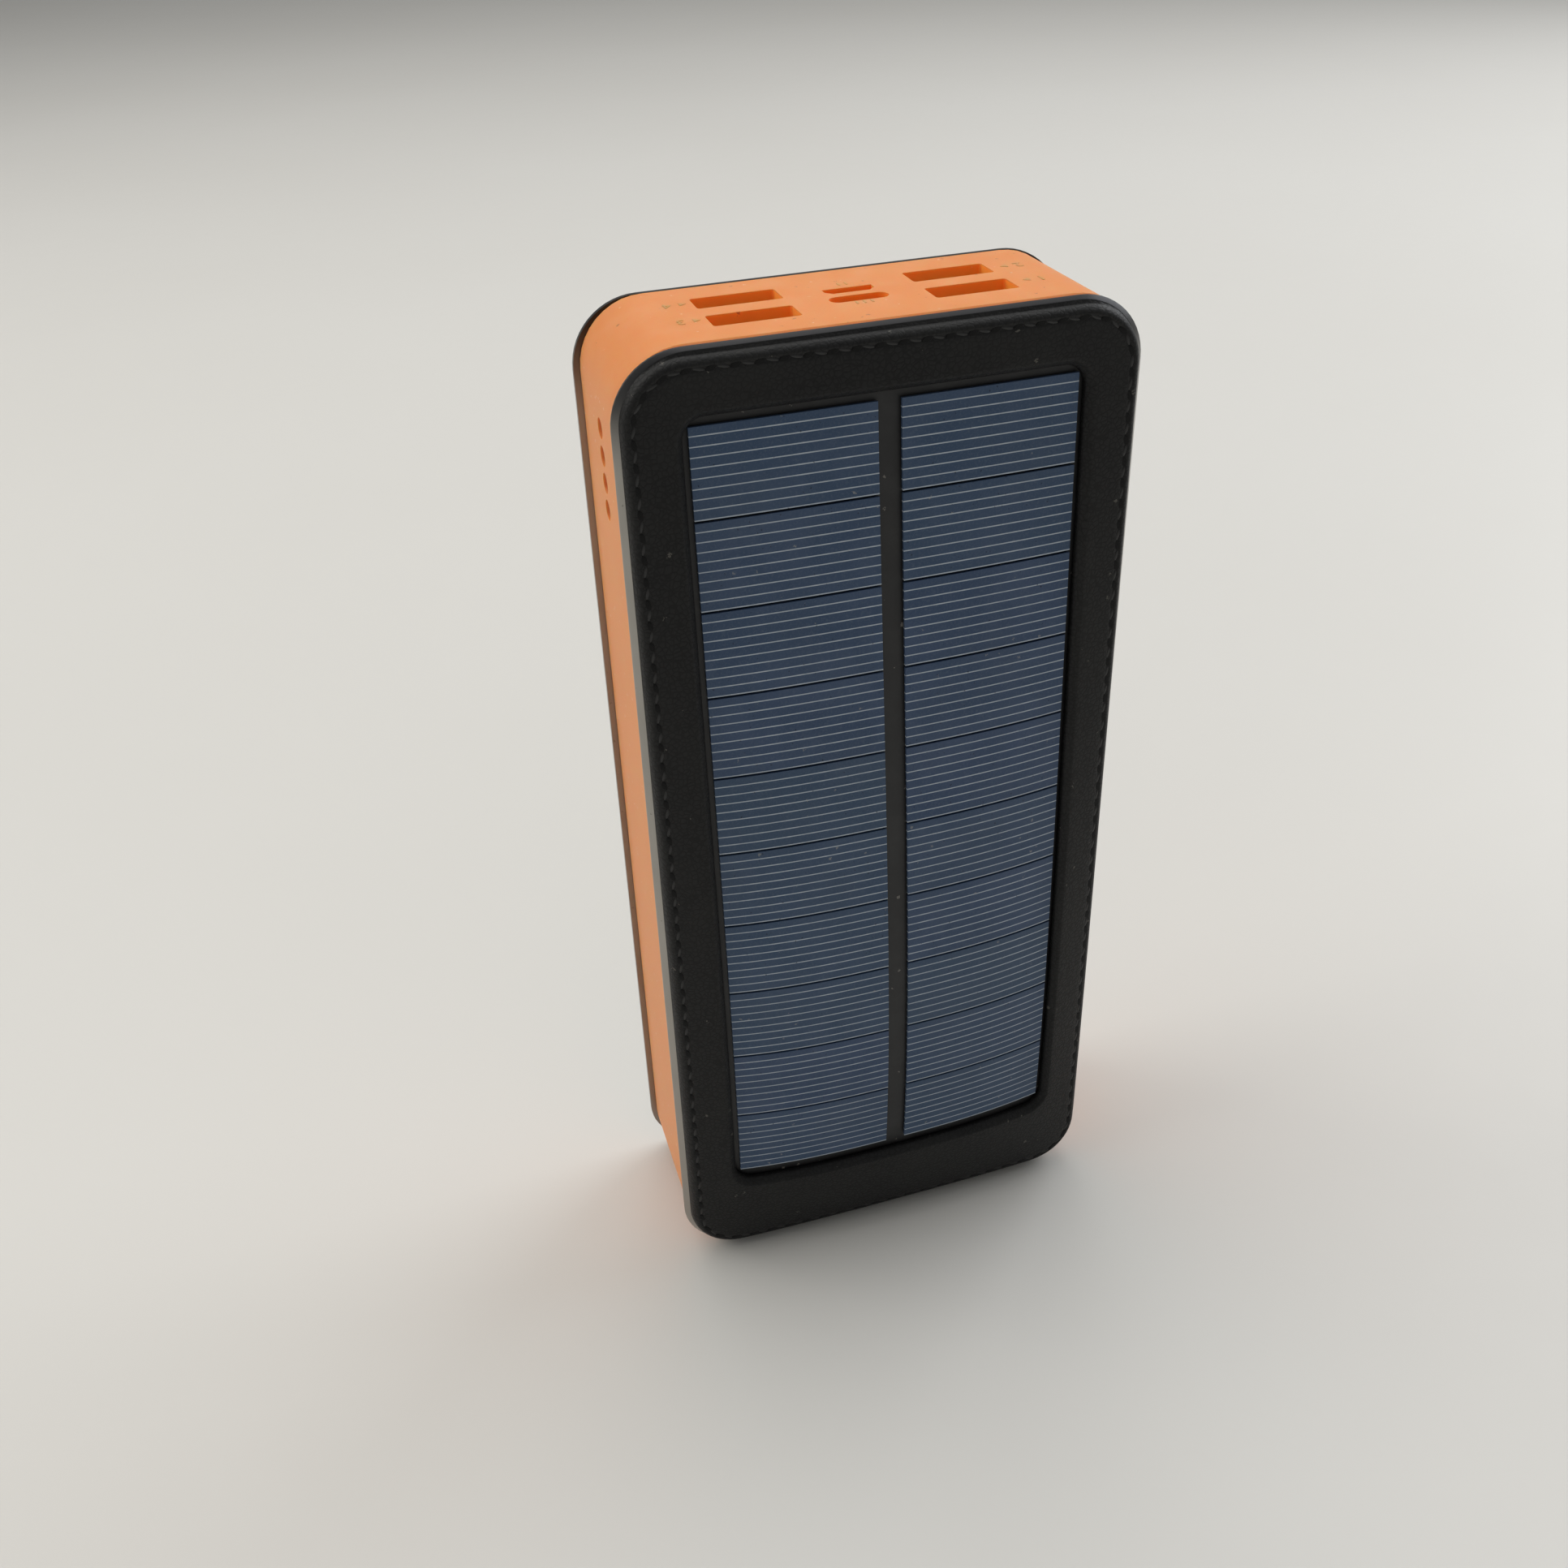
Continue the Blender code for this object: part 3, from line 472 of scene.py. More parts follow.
def soft_orange():
    """Orange plastic, paler where it has bloomed, and painted brighter and more saturated inside the
    port slots as a painted glow of light through the plastic.
    """
    paint = Finish(
        "soft_orange", Sheen_Weight=0.06, Sheen_Roughness=0.5, Subsurface_Weight=0.6,
        Subsurface_Radius=(1.0, 0.3, 0.08), Subsurface_Scale=3.0 * MM,
    )
    drift = paint.noise(22.0 * MM, 2.0)
    bloom = paint.noise(5.0 * MM, 4.0, 0.6).ramp(0.35, 0.8)
    skin = paint.noise(0.22 * MM, 3.0, 0.6)
    orange = paint.blend((0.76, 0.235, 0.05), (0.8, 0.285, 0.075), drift)
    orange = paint.blend(orange, (0.78, 0.37, 0.17), bloom * 0.3)
    across, deep, up = paint.axes()
    # Painted light: inside the port slots the same plastic is painted brighter and more saturated, for
    # light glowing through it.
    slot_painted_glow = (SLOT_HALF_Y - (deep - SLOT_MIDDLE_Y).size()).above(0.0)
    slot_painted_glow = slot_painted_glow * (SLOT_HALF_X - across.size()).above(0.0)
    slot_painted_glow = slot_painted_glow * (frame_top - up).above(SLOT_FROM_TOP)
    orange = paint.blend(orange, (0.97, 0.33, 0.03), slot_painted_glow)
    orange = paint.blend(orange, (0.36, 0.13, 0.05), paint.specks(1.3 * MM, 0.08, 0.17) * 0.7)
    orange = paint.blend(orange, (0.85, 0.6, 0.45), paint.specks(0.9 * MM, 0.05, 0.53) * 0.6)
    gloss = 0.47 + skin * 0.12 + bloom * 0.08
    return paint.done(orange, gloss, skin, 0.025 * MM, 0.6)


def raised_mesh(name, points, loops, z, height):
    """Low raised mark on the top face, from flat outlines."""
    shape = bmesh.new()
    for loop in loops:
        low = [shape.verts.new((points[i][0], points[i][1], z - height)) for i in loop]
        high = [shape.verts.new((points[i][0], points[i][1], z + height)) for i in loop]
        shape.faces.new(high)
        shape.faces.new(reversed(low))
        for i in range(len(loop)):
            j = (i + 1) % len(loop)
            shape.faces.new((low[i], low[j], high[j], high[i]))
    bmesh.ops.recalc_face_normals(shape, faces=shape.faces[:])
    mesh = bpy.data.meshes.new(name)
    shape.to_mesh(mesh)
    shape.free()
    piece = bpy.data.objects.new(name, mesh)
    bpy.context.scene.collection.objects.link(piece)
    return piece


def raised_figure(name, figure, x, y, z, height, tall):
    """One raised figure on the top face, which reads from the rear."""
    curve = bpy.data.curves.new(name, "FONT")
    curve.body = figure
    curve.size = tall
    curve.extrude = height
    curve.resolution_u = 4
    curve.align_x = "CENTER"
    curve.align_y = "CENTER"
    piece = bpy.data.objects.new(name + "_text", curve)
    bpy.context.scene.collection.objects.link(piece)
    depsgraph = bpy.context.evaluated_depsgraph_get()
    mesh = bpy.data.meshes.new_from_object(piece.evaluated_get(depsgraph))
    bpy.data.objects.remove(piece, do_unlink=True)
    for vertex in mesh.vertices:
        vertex.co = (x - vertex.co.x, y - vertex.co.y, z + vertex.co.z)
    mesh.name = name
    solid = bpy.data.objects.new(name, mesh)
    bpy.context.scene.collection.objects.link(solid)
    return solid


orange = soft_orange()
ring = rounded_copy("moulded_frame", "middle_frame", FRAME_ROUND, 3)
for vertex in ring.data.vertices:
    vertex.co.z -= RAISE * max(1.0 - (frame_top - vertex.co.z) / SETTLED, 0.0)
settle(ring, "housing", "orange_soft", orange, nodes=("middle_frame",))

mark_z = frame_top - RAISE
label_places = {
    "1": (28.6 * MM, -1.15 * MM), "2": (28.6 * MM, 7.05 * MM),
    "3": (-27.6 * MM, -0.75 * MM), "4": (-27.6 * MM, 7.85 * MM),
}
for figure, (x, y) in label_places.items():
    digit = raised_figure("port_figure_" + figure, figure, x, y, mark_z, RAISE, FIGURE_TALL)
    settle(digit, "housing", "orange_soft", orange)
    towards = 1.0 if x < 0.0 else -1.0
    tip = x + towards * ARROW_REACH
    tail = tip - towards * ARROW_LONG
    arrow = raised_mesh(
        "port_arrow_" + figure, [(tip, y), (tail, y + ARROW_HALF), (tail, y - ARROW_HALF)],
        [(0, 1, 2) if towards < 0.0 else (0, 2, 1)], mark_z, RAISE,
    )
    settle(arrow, "housing", "orange_soft", orange)
for name, y, count in (("micro_input_marks", 8.25 * MM, 2), ("round_input_marks", -1.95 * MM, 3)):
    corners, loops = [], []
    for index in range(count):
        x = (index - 0.5 * (count - 1)) * MARK_STEP
        corners += [
            (x - MARK_HALF_X, y - MARK_HALF_Y), (x + MARK_HALF_X, y - MARK_HALF_Y),
            (x + MARK_HALF_X, y + MARK_HALF_Y), (x - MARK_HALF_X, y + MARK_HALF_Y),
        ]
        loops.append(tuple(4 * index + step for step in range(4)))
    marks = raised_mesh(name, corners, loops, mark_z, RAISE)
    settle(marks, "housing", "orange_soft", orange)


# Charge indicators: one milky moulding whose four pegs show in the left wall, pressed in behind
# the wall, with four light chips soldered to the board's edge behind it.
def milky_plastic():
    paint = Finish(
        "milky_plastic", Subsurface_Weight=0.25, Subsurface_Radius=(1.0, 0.7, 0.6),
        Subsurface_Scale=0.8 * MM, IOR=1.49,
    )
    cloud = paint.noise(1.2 * MM, 3.0)
    milk = paint.blend((0.5, 0.4, 0.36), (0.64, 0.55, 0.51), cloud)
    return paint.done(milk, 0.32 + cloud * 0.15, paint.noise(0.3 * MM), 0.02 * MM, 0.5)


def chip_resin():
    paint = Finish("chip_resin", IOR=1.5)
    base = paint.noise(0.5 * MM, 2.0)
    yellow = paint.blend((0.8, 0.78, 0.6), (0.88, 0.87, 0.78), base)
    return paint.done(yellow, 0.25 + base * 0.2, base, 0.02 * MM, 0.4)


resin = chip_resin()
pipe = rounded_copy("light_pipe_moulding", "light_pipe", 0.2 * MM, 3)
settle(pipe, "housing", "clear_plastic", milky_plastic(), nodes=("light_pipe",))
for number in range(1, 5):
    use("charge_led_%d" % number, resin)


# Power button: a hard black cap with a flange that keeps it in the right wall. Behind it stands
# a push switch, soldered in a notch of the board, whose plunger returns the button.
cap = rounded_copy("button_cap", "power_button", 0.25 * MM, 3)
settle(cap, "button", "black_plastic", moulded_black("button_plastic", 0.028), nodes=("power_button",))
stem = rounded_copy("plunger_stem", "switch_plunger", 0.15 * MM)
settle(stem, "plunger", "white_plastic", white_plastic, nodes=("switch_plunger",))
use("switch_body", black_plastic)


# Solar panel: a black backing board with twenty cells in two columns, each printed with nine
# silver fingers, all sealed under a clear film. The swollen battery has bowed it with its cover.
WIDTH, _, HEIGHT = cad_box[1] - cad_box[0]
BOW = 5.6 * MM
PAD = 1.7 * MM
BOW_SIDE_POWER = 2.6
BOW_END_POWER = 0.55
BOW_END_SHARPNESS = 1.25
RIM_Y = -11.9 * MM
CELL_RECESS = 1.4 * MM
CELL_THICK = 0.5 * MM
CELL_TOP_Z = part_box("solar_cell_left_01")[1].z
CELL_PITCH = CELL_TOP_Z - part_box("solar_cell_left_02")[1].z
FINGER_PITCH = 1.595 * MM
FINGER_COUNT = 9
FIRST_FINGER = 0.12 * MM
FINGER_WIDTH = 0.17 * MM


def bow(x, z):
    """How far the swollen front stands above its padded border."""
    across = 1.0 - min(abs(x) / (0.5 * WIDTH), 1.0) ** BOW_SIDE_POWER
    level = min(max(z / HEIGHT, 0.0), 1.0) ** BOW_END_POWER
    return BOW * across * max(math.sin(math.pi * level), 0.0) ** BOW_END_SHARPNESS


def front_point(x, z, depth=0.0):
    return Vector((x, RIM_Y - PAD - bow(x, z) + depth, z))


def new_piece(name, shape):
    """Object from a bmesh, with its faces turned outwards and shaded smooth."""
    bmesh.ops.remove_doubles(shape, verts=shape.verts[:], dist=0.001 * MM)
    bmesh.ops.recalc_face_normals(shape, faces=shape.faces[:])
    mesh = bpy.data.meshes.new(name)
    shape.to_mesh(mesh)
    shape.free()
    mesh.shade_smooth()
    mesh.set_sharp_from_angle(angle=math.radians(35.0))
    piece = bpy.data.objects.new(name, mesh)
    bpy.context.scene.collection.objects.link(piece)
    return piece


def bowed_plate(name, node, depth, thick, columns, rows):
    """Thin plate as wide and tall as a CAD node, with broad faces that follow the bow."""
    low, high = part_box(node)
    shape = bmesh.new()
    grids = []
    for level in (depth, depth + thick):
        grid = []
        for row in range(rows + 1):
            z = low.z + (high.z - low.z) * row / rows
            xs = [low.x + (high.x - low.x) * column / columns for column in range(columns + 1)]
            grid.append([shape.verts.new(front_point(x, z, level)) for x in xs])
        grids.append(grid)
        for row in range(rows):
            for column in range(columns):
                shape.faces.new((
                    grid[row][column], grid[row][column + 1],
                    grid[row + 1][column + 1], grid[row + 1][column],
                ))
    rims = [[
        *grid[0], *(row[-1] for row in grid[1:]),
        *reversed(grid[-1][:-1]), *(row[0] for row in reversed(grid[1:-1])),
    ] for grid in grids]
    for i in range(len(rims[0])):
        j = (i + 1) % len(rims[0])
        shape.faces.new((rims[0][i], rims[0][j], rims[1][j], rims[1][i]))
    return new_piece(name, shape)


def printed_cell():
    """Blue-grey silicon with printed silver fingers, seen through a dusty film."""
    paint = Finish("printed_cell", Specular_IOR_Level=0.32, IOR=1.5)
    across, _, up = paint.axes()
    row = (CELL_TOP_Z - up) / CELL_PITCH
    from_low = CELL_PITCH * (1.0 - row.part()) - (CELL_PITCH - cell_height)
    step = (from_low - FIRST_FINGER) / FINGER_PITCH + 0.5
    wander = paint.noise(1.5 * MM, 2.0, place=paint.stretched(1.0, 1.0, 0.2))
    offset = (step.part() - 0.5).size() * FINGER_PITCH
    half = 0.5 * FINGER_WIDTH * (0.8 + wander * 0.4)
    finger = 1.0 - (offset - half).ramp(-0.02 * MM, 0.03 * MM)
    finger = finger * (1.0 - (step - FINGER_COUNT).above(0.0)) * step.above(0.0)
    batch = paint.add("ShaderNodeCombineXYZ", None, (across.above(0.0), row.whole(), 0.0))
    batch = paint.add("ShaderNodeTexWhiteNoise", {"noise_dimensions": "3D"}, (batch,))
    drift = paint.noise(9.0 * MM, 3.0, 0.6)
    fine = paint.noise(0.35 * MM, 3.0, 0.7)
    blue = paint.blend((0.036, 0.069, 0.142), (0.049, 0.083, 0.163), drift.ramp(0.35, 0.65))
    blue = paint.blend(blue, (0.041, 0.082, 0.137), batch * 0.5)
    blue = paint.blend(blue, (0.1, 0.135, 0.2), fine.ramp(0.45, 0.8) * 0.5)
    silver = paint.blend((0.4, 0.46, 0.53), (0.52, 0.58, 0.64), wander)
    face = paint.blend(blue, silver, finger)
    face = paint.blend(face, (0.009, 0.011, 0.02), paint.specks(0.6 * MM, 0.12, 0.41) * 0.7)
    face = paint.blend(face, (0.38, 0.37, 0.34), paint.specks(1.2 * MM, 0.05, 0.73) * 0.45)
    smear = paint.noise(16.0 * MM, 4.0, 0.6).ramp(0.4, 0.75)
    haze = paint.blend(face, (0.15, 0.17, 0.2), smear * 0.12)
    gloss = 0.4 + smear * 0.15 + fine * 0.08
    return paint.done(haze, gloss, fine * 0.4 + drift, 0.03 * MM, 0.35)


def backing_board():
    """Black solder mask of the backing board, seen between the two columns."""
    paint = Finish("backing_board")
    fine = paint.noise(0.3 * MM, 3.0, 0.6)
    haze = paint.noise(6.0 * MM, 3.0).ramp(0.4, 0.8)
    black = paint.blend((0.009, 0.009, 0.01), (0.02, 0.02, 0.021), haze)
    black = paint.blend(black, (0.3, 0.28, 0.25), paint.specks(1.4 * MM, 0.12, 0.29) * 0.5)
    return paint.done(black, 0.38 + fine * 0.15, fine, 0.015 * MM, 0.5)


low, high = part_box("solar_cell_left_01")
cell_height = high.z - low.z
silicon = printed_cell()
CELL_GRID, BOARD_GRID = (14, 8), (32, 64)
BOARD_DEPTH, BOARD_THICK = 2.2 * MM, 1.0 * MM
for node in sorted(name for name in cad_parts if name.startswith("solar_cell")):
    cell = bowed_plate(node.replace("solar", "printed"), node, CELL_RECESS, CELL_THICK, *CELL_GRID)
    settle(cell, "housing", "solar_cell", silicon, nodes=(node,))
board = bowed_plate("backing_plate", "solar_board", BOARD_DEPTH, BOARD_THICK, *BOARD_GRID)
settle(board, "housing", "solar_backing", backing_board(), nodes=("solar_board",))


# Front cover: one black moulding with a gunmetal bevel at its edge and a padded face pressed like
# leather, with a sunken row of stitches round it. It is clipped and glued into the frame.
COVER_LOW_Z = 0.2 * MM
COVER_HIGH_Z = HEIGHT - 0.2 * MM
COVER_CORNER = 10.8 * MM
FRONT_JOINT = 0.9 * MM
SHOULDER = (
    (1.02, 0.3), (1.08, 0.62), (1.18, 0.92), (1.33, 1.18), (1.52, 1.4), (1.74, 1.57), (1.95, 1.66),
)
BEVEL = ((0.0, 0.72), (0.04, 0.66), (0.1, 0.6), (0.88, 0.08), (0.95, 0.03), (1.0, 0.02))
BAND_LOOPS = 6
# Heights over which the band's colour turns to painted shade towards the top.
BAND_PAINTED_SHADE_SPAN = (162.0 * MM, 179.0 * MM)
SKIN = 1.9 * MM
TONGUE_INSETS = (3.3 * MM, 4.7 * MM)
TONGUE_DEPTH = 2.75 * MM
WINDOW = (31.2 * MM, 19.0 * MM, 168.9 * MM, 3.4 * MM)
STITCH_INSET = 2.7 * MM
STITCH_PITCH = 3.55 * MM
GROOVE = (
    (-0.6, 0.0), (-0.4, 0.03), (-0.2, 0.12), (0.0, 0.16), (0.2, 0.12), (0.4, 0.03), (0.6, 0.0),
)
BORDER_INSET = 3.9 * MM
BORDER_LOOPS = 5
BEVEL_END_SHARE = 0.5
THREAD_SIZE = (2.0 * MM, 0.6 * MM, 0.34 * MM)
# Size and place of the flat lump that carries the painted shade of each stitch hole.
HOLE_SIZE = (2.1 * MM, 1.15 * MM, 0.16 * MM)
HOLE_PLACE = (0.5 * STITCH_PITCH, 0.0, 0.09 * MM)
THREAD_SLANT = (0.0, 0.0, math.radians(-13.0))
HOLE_SLANT = (0.0, 0.0, math.radians(38.0))
LIP = (
    (1.35, 0.0), (1.2, 0.02), (1.05, 0.1), (0.85, 0.27), (0.55, 0.58),
    (0.3, 0.85), (0.12, 1.1), (0.03, 1.3), (0.0, 1.5),
)


def outline(half_x, low_z, high_z, radius, corner=14, side=64, end=26):
    """Rounded upright rectangle as (x, z) points, the same count at any size."""
    turns = (
        (half_x - radius, low_z + radius, -90.0, side), (half_x - radius, high_z - radius, 0.0, end),
        (radius - half_x, high_z - radius, 90.0, side), (radius - half_x, low_z + radius, 180.0, end),
    )
    points = []
    for index, (cx, cz, start, steps) in enumerate(turns):
        for step in range(corner + 1):
            angle = math.radians(start + 90.0 * step / corner)
            points.append((cx + radius * math.cos(angle), cz + radius * math.sin(angle)))
        nx, nz, next_start, _ = turns[(index + 1) % 4]
        angle = math.radians(next_start)
        goal = (nx + radius * math.cos(angle), nz + radius * math.sin(angle))
        last = points[-1]
        for step in range(1, steps):
            share = step / steps
            points.append(tuple(a + share * (b - a) for a, b in zip(last, goal)))
    return points


def cover_line(inset):
    return outline(
        0.5 * WIDTH - inset, COVER_LOW_Z + inset, COVER_HIGH_Z - inset, COVER_CORNER - inset
    )


def window_line(outset):
    return outline(
        WINDOW[0] + outset, WINDOW[1] - outset, WINDOW[2] + outset, WINDOW[3] + outset
    )


def between(first, second, share):
    return [tuple(a + share * (b - a) for a, b in zip(p, q)) for p, q in zip(first, second)]


def ring_shell(name, loops, band_loops):
    """Closed ring of faces through equal loops; those at its rim take the second finish."""
    shape = bmesh.new()
    rings = [[shape.verts.new(point) for point in loop] for loop in loops]
    for index, near in enumerate(rings):
        far = rings[(index + 1) % len(rings)]
        for i in range(len(near)):
            j = (i + 1) % len(near)
            face = shape.faces.new((near[i], near[j], far[j], far[i]))
            in_band = index < band_loops or index == len(rings) - 1
            face.material_index = 1 if in_band else 0
    return new_piece(name, shape)


def pressed_skin():
    """Leather grain pressed in black plastic, rubbed shinier on its high spots, with painted shade
    darkening the grain's creases.
    """
    paint = Finish("pressed_skin", Specular_IOR_Level=0.24)
    bent = paint.pushed(paint.place, 2.4 * MM, 0.9 * MM)
    pebble = paint.cells(0.85 * MM, "DISTANCE_TO_EDGE", bent).ramp(0.0, 0.22)
    small = paint.cells(0.42 * MM, "F1", bent)
    pore = paint.noise(0.16 * MM, 2.0, 0.6)
    drift = paint.noise(15.0 * MM, 4.0, 0.6)
    height = pebble * 0.62 + (1.0 - small) * 0.25 + pore * 0.13
    # Painted shade: the colour is darker in the grain's creases and lighter on its raised pebbles,
    # following the bump.
    black = paint.blend((0.006, 0.006, 0.0062), (0.011, 0.011, 0.0113), pebble)
    black = paint.blend(black, (0.018, 0.018, 0.017), drift.ramp(0.4, 0.75) * 0.5)
    black = paint.blend(black, (0.16, 0.15, 0.13), paint.specks(1.5 * MM, 0.07, 0.61) * 0.5)
    gloss = 0.5 - pebble * 0.06 + drift * 0.12
    return paint.done(black, gloss, height, 0.05 * MM, 0.8)


def satin_band():
    """Satin gunmetal paint on the bevelled edge, with fine wiping marks and a little dust; towards the
    top its colour is painted near black, a painted dark reflection.
    """
    paint = Finish("satin_band", Metallic=1.0)
    wipe = paint.noise(0.5 * MM, 3.0, 0.6, paint.stretched(1.0, 1.0, 0.15))
    drift = paint.noise(12.0 * MM, 3.0)
    grey = paint.blend((0.3, 0.29, 0.265), (0.4, 0.385, 0.36), drift)
    up = paint.axes()[2]
    # Painted shade: towards the top the band is painted near black, for the dark reflection that its
    # upper edge shows.
    painted_dark_top = (up + drift * 4.0 * MM).ramp(*BAND_PAINTED_SHADE_SPAN)
    grey = paint.blend(grey, (0.05, 0.05, 0.052), painted_dark_top)
    grey = paint.blend(grey, (0.16, 0.155, 0.145), paint.specks(1.2 * MM, 0.1, 0.37) * 0.6)
    return paint.done(grey, 0.26 + wipe * 0.14 + drift * 0.06, wipe, 0.008 * MM, 0.4)


def stitch_row():
    """Stitches along a closed path: a slanted thread, and where it dips a flat lump in the hole
    finish, which paints the hole's shade.
    """
    row = Recipe(
        "stitch_row", Count="Int", Thread="Vector", Hole="Vector", Hole_Place="Vector",
        Slant="Vector", Hole_Slant="Vector", Thread_Finish="Material", Hole_Finish="Material",
    )
    path = row.add("GeometryNodeMeshToCurve", None, (row["Geometry"],))
    even = row.add("GeometryNodeResampleCurve", None, {"Curve": path, "Count": row["Count"]})
    parts = []
    for size, place, turn, finish in (
        ("Thread", (0.0, 0.0, 0.0), "Slant", "Thread_Finish"),
        ("Hole", row["Hole_Place"], "Hole_Slant", "Hole_Finish"),
    ):
        ball = row.add("GeometryNodeMeshUVSphere", None, {
            "Segments": 10, "Rings": 6, "Radius": 0.5
        })
        turned = row.add("FunctionNodeEulerToRotation", None, (row[turn],))
        shaped = row.add("GeometryNodeTransform", None, {
            "Geometry": ball, "Translation": place, "Rotation": turned, "Scale": row[size]
        })
        soft = row.add("GeometryNodeSetShadeSmooth", None, {"Geometry": shaped})
        parts.append(row.add("GeometryNodeSetMaterial", None, {
            "Geometry": soft, "Material": row[finish]
        }))
    stitch = row.add("GeometryNodeJoinGeometry", None, (parts[0],))
    row.feed(stitch.socket.node.inputs[0], parts[1])
    outward = row.add(
        "GeometryNodeInputNamedAttribute", {"data_type": "FLOAT_VECTOR"}, {"Name": "outward"}
    )
    along = row.add("GeometryNodeInputTangent")
    upright = row.add("FunctionNodeAlignRotationToVector", {"axis": "Z"}, {"Vector": outward})
    lined = row.add("FunctionNodeAlignRotationToVector", {"axis": "X", "pivot_axis": "Z"}, {
        "Rotation": upright, "Vector": along
    })
    row.end(row.add("GeometryNodeInstanceOnPoints", None, {
        "Points": even, "Instance": stitch, "Rotation": lined
    }))
    return row


def stitched(name, points, normals):
    """Closed path of points and outward directions, sewn round with one stitch per pitch."""
    path = bpy.data.meshes.new(name)
    count = len(points)
    path.from_pydata(points, [(i, (i + 1) % count) for i in range(count)], [])
    held = path.attributes.new("outward", "FLOAT_VECTOR", "POINT")
    for index, normal in enumerate(normals):
        held.data[index].vector = normal
    length = sum((Vector(points[i]) - Vector(points[i - 1])).length for i in range(count))
    return sewing.grow(name, path, **{
        "Count": round(length / STITCH_PITCH), "Thread": THREAD_SIZE, "Hole": HOLE_SIZE,
        "Hole_Place": HOLE_PLACE, "Slant": THREAD_SLANT, "Hole_Slant": HOLE_SLANT,
        "Thread_Finish": thread, "Hole_Finish": hole_shade_finish,
    })


def thread_finish(name, shade, gloss):
    """Moulded thread: fine twisted strands along each stitch; in a near-black shade the same finish
    paints the shade of the stitch holes.
    """
    paint = Finish(name)
    strand = paint.noise(0.14 * MM, 2.0, 0.6)
    dust = paint.noise(1.3 * MM, 3.0).ramp(0.55, 0.8)
    black = paint.blend((shade,) * 3, (shade * 3.0,) * 3, dust * 0.6)
    return paint.done(black, gloss + strand * 0.15, strand, 0.03 * MM, 0.7)


def front_lines():
    """The cover's loops: bevel, shoulder, stitch groove, bowed face, lip and tongue."""
    def on_bow(points, depth):
        return [front_point(x, z, depth) for x, z in points]

    joint = RIM_Y + FRONT_JOINT
    border, lip = cover_line(BORDER_INSET), window_line(LIP[0][0] * MM)
    loops = [[(x, joint, z) for x, z in cover_line(0.0)]]
    for inset, depth in BEVEL:
        across, along = inset * MM, BEVEL_END_SHARE * inset * MM
        loops.append(on_bow(outline(
            0.5 * WIDTH - across, COVER_LOW_Z + along, COVER_HIGH_Z - along, COVER_CORNER - along
        ), PAD + depth * MM))
    for inset, rise in SHOULDER:
        loops.append(on_bow(cover_line(inset * MM), PAD - rise * MM))
    for inset, depth in GROOVE:
        loops.append(on_bow(cover_line(STITCH_INSET + inset * MM), depth * MM))
    loops += [
        on_bow(between(border, lip, step / BORDER_LOOPS), 0.0) for step in range(BORDER_LOOPS)
    ]
    loops += [on_bow(window_line(outset * MM), depth * MM) for outset, depth in LIP]
    hole = window_line(0.0)
    loops.append(on_bow(hole, SKIN))
    loops += [on_bow(between(hole, cover_line(TONGUE_INSETS[1]), share), SKIN) for share in (0.5, 1.0)]
    for inset, y in (
        (TONGUE_INSETS[1], joint + TONGUE_DEPTH), (TONGUE_INSETS[0], joint + TONGUE_DEPTH),
        (TONGUE_INSETS[0], joint),
    ):
        loops.append([(x, y, z) for x, z in cover_line(inset)])
    return loops


skin, band = pressed_skin(), satin_band()
thread = thread_finish("moulded_thread", 0.012, 0.42)
# Painted shade: the stitch holes are flat lumps painted near black, ten times darker than the thread,
# for the shade inside each hole.
hole_shade_finish = thread_finish("pinched_hole", 0.0012, 0.85)
sewing = stitch_row()
face_cover = ring_shell("front_cover_skin", front_lines(), BAND_LOOPS)
settle(face_cover, "housing", "black_skin", skin, band, nodes=("front_cover",))
SINK = 0.18 * MM
NUDGE = 0.2 * MM
points, normals = [], []
for x, z in cover_line(STITCH_INSET):
    here = front_point(x, z)
    side = front_point(x + NUDGE, z) - front_point(x - NUDGE, z)
    rise = front_point(x, z + NUDGE) - front_point(x, z - NUDGE)
    normal = side.cross(rise).normalized()
    points.append(here - normal * SINK)
    normals.append(normal)
front_sewing = stitched("front_stitches", points, normals)
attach(front_sewing, "housing")


# Rear cover: the same black moulding, left flat, with an opening for the lamp. It clips in from
# behind and carries the same pressed grain, gunmetal edge and stitches.
REAR_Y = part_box("rear_cover")[1].y
REAR_JOINT = 1.15 * MM
REAR_ROUND = 0.35 * MM
ROUND_STEPS = 5
LAMP_LOW, LAMP_HIGH = Vector((22.0, 0.0, 128.5)) * MM, Vector((22.0, 0.0, 154.5)) * MM
LAMP_CORNER = 3.0 * MM
LAMP_LIP = ((0.5, 0.0), (0.35, 0.04), (0.15, 0.16), (0.04, 0.34), (0.0, 0.6))


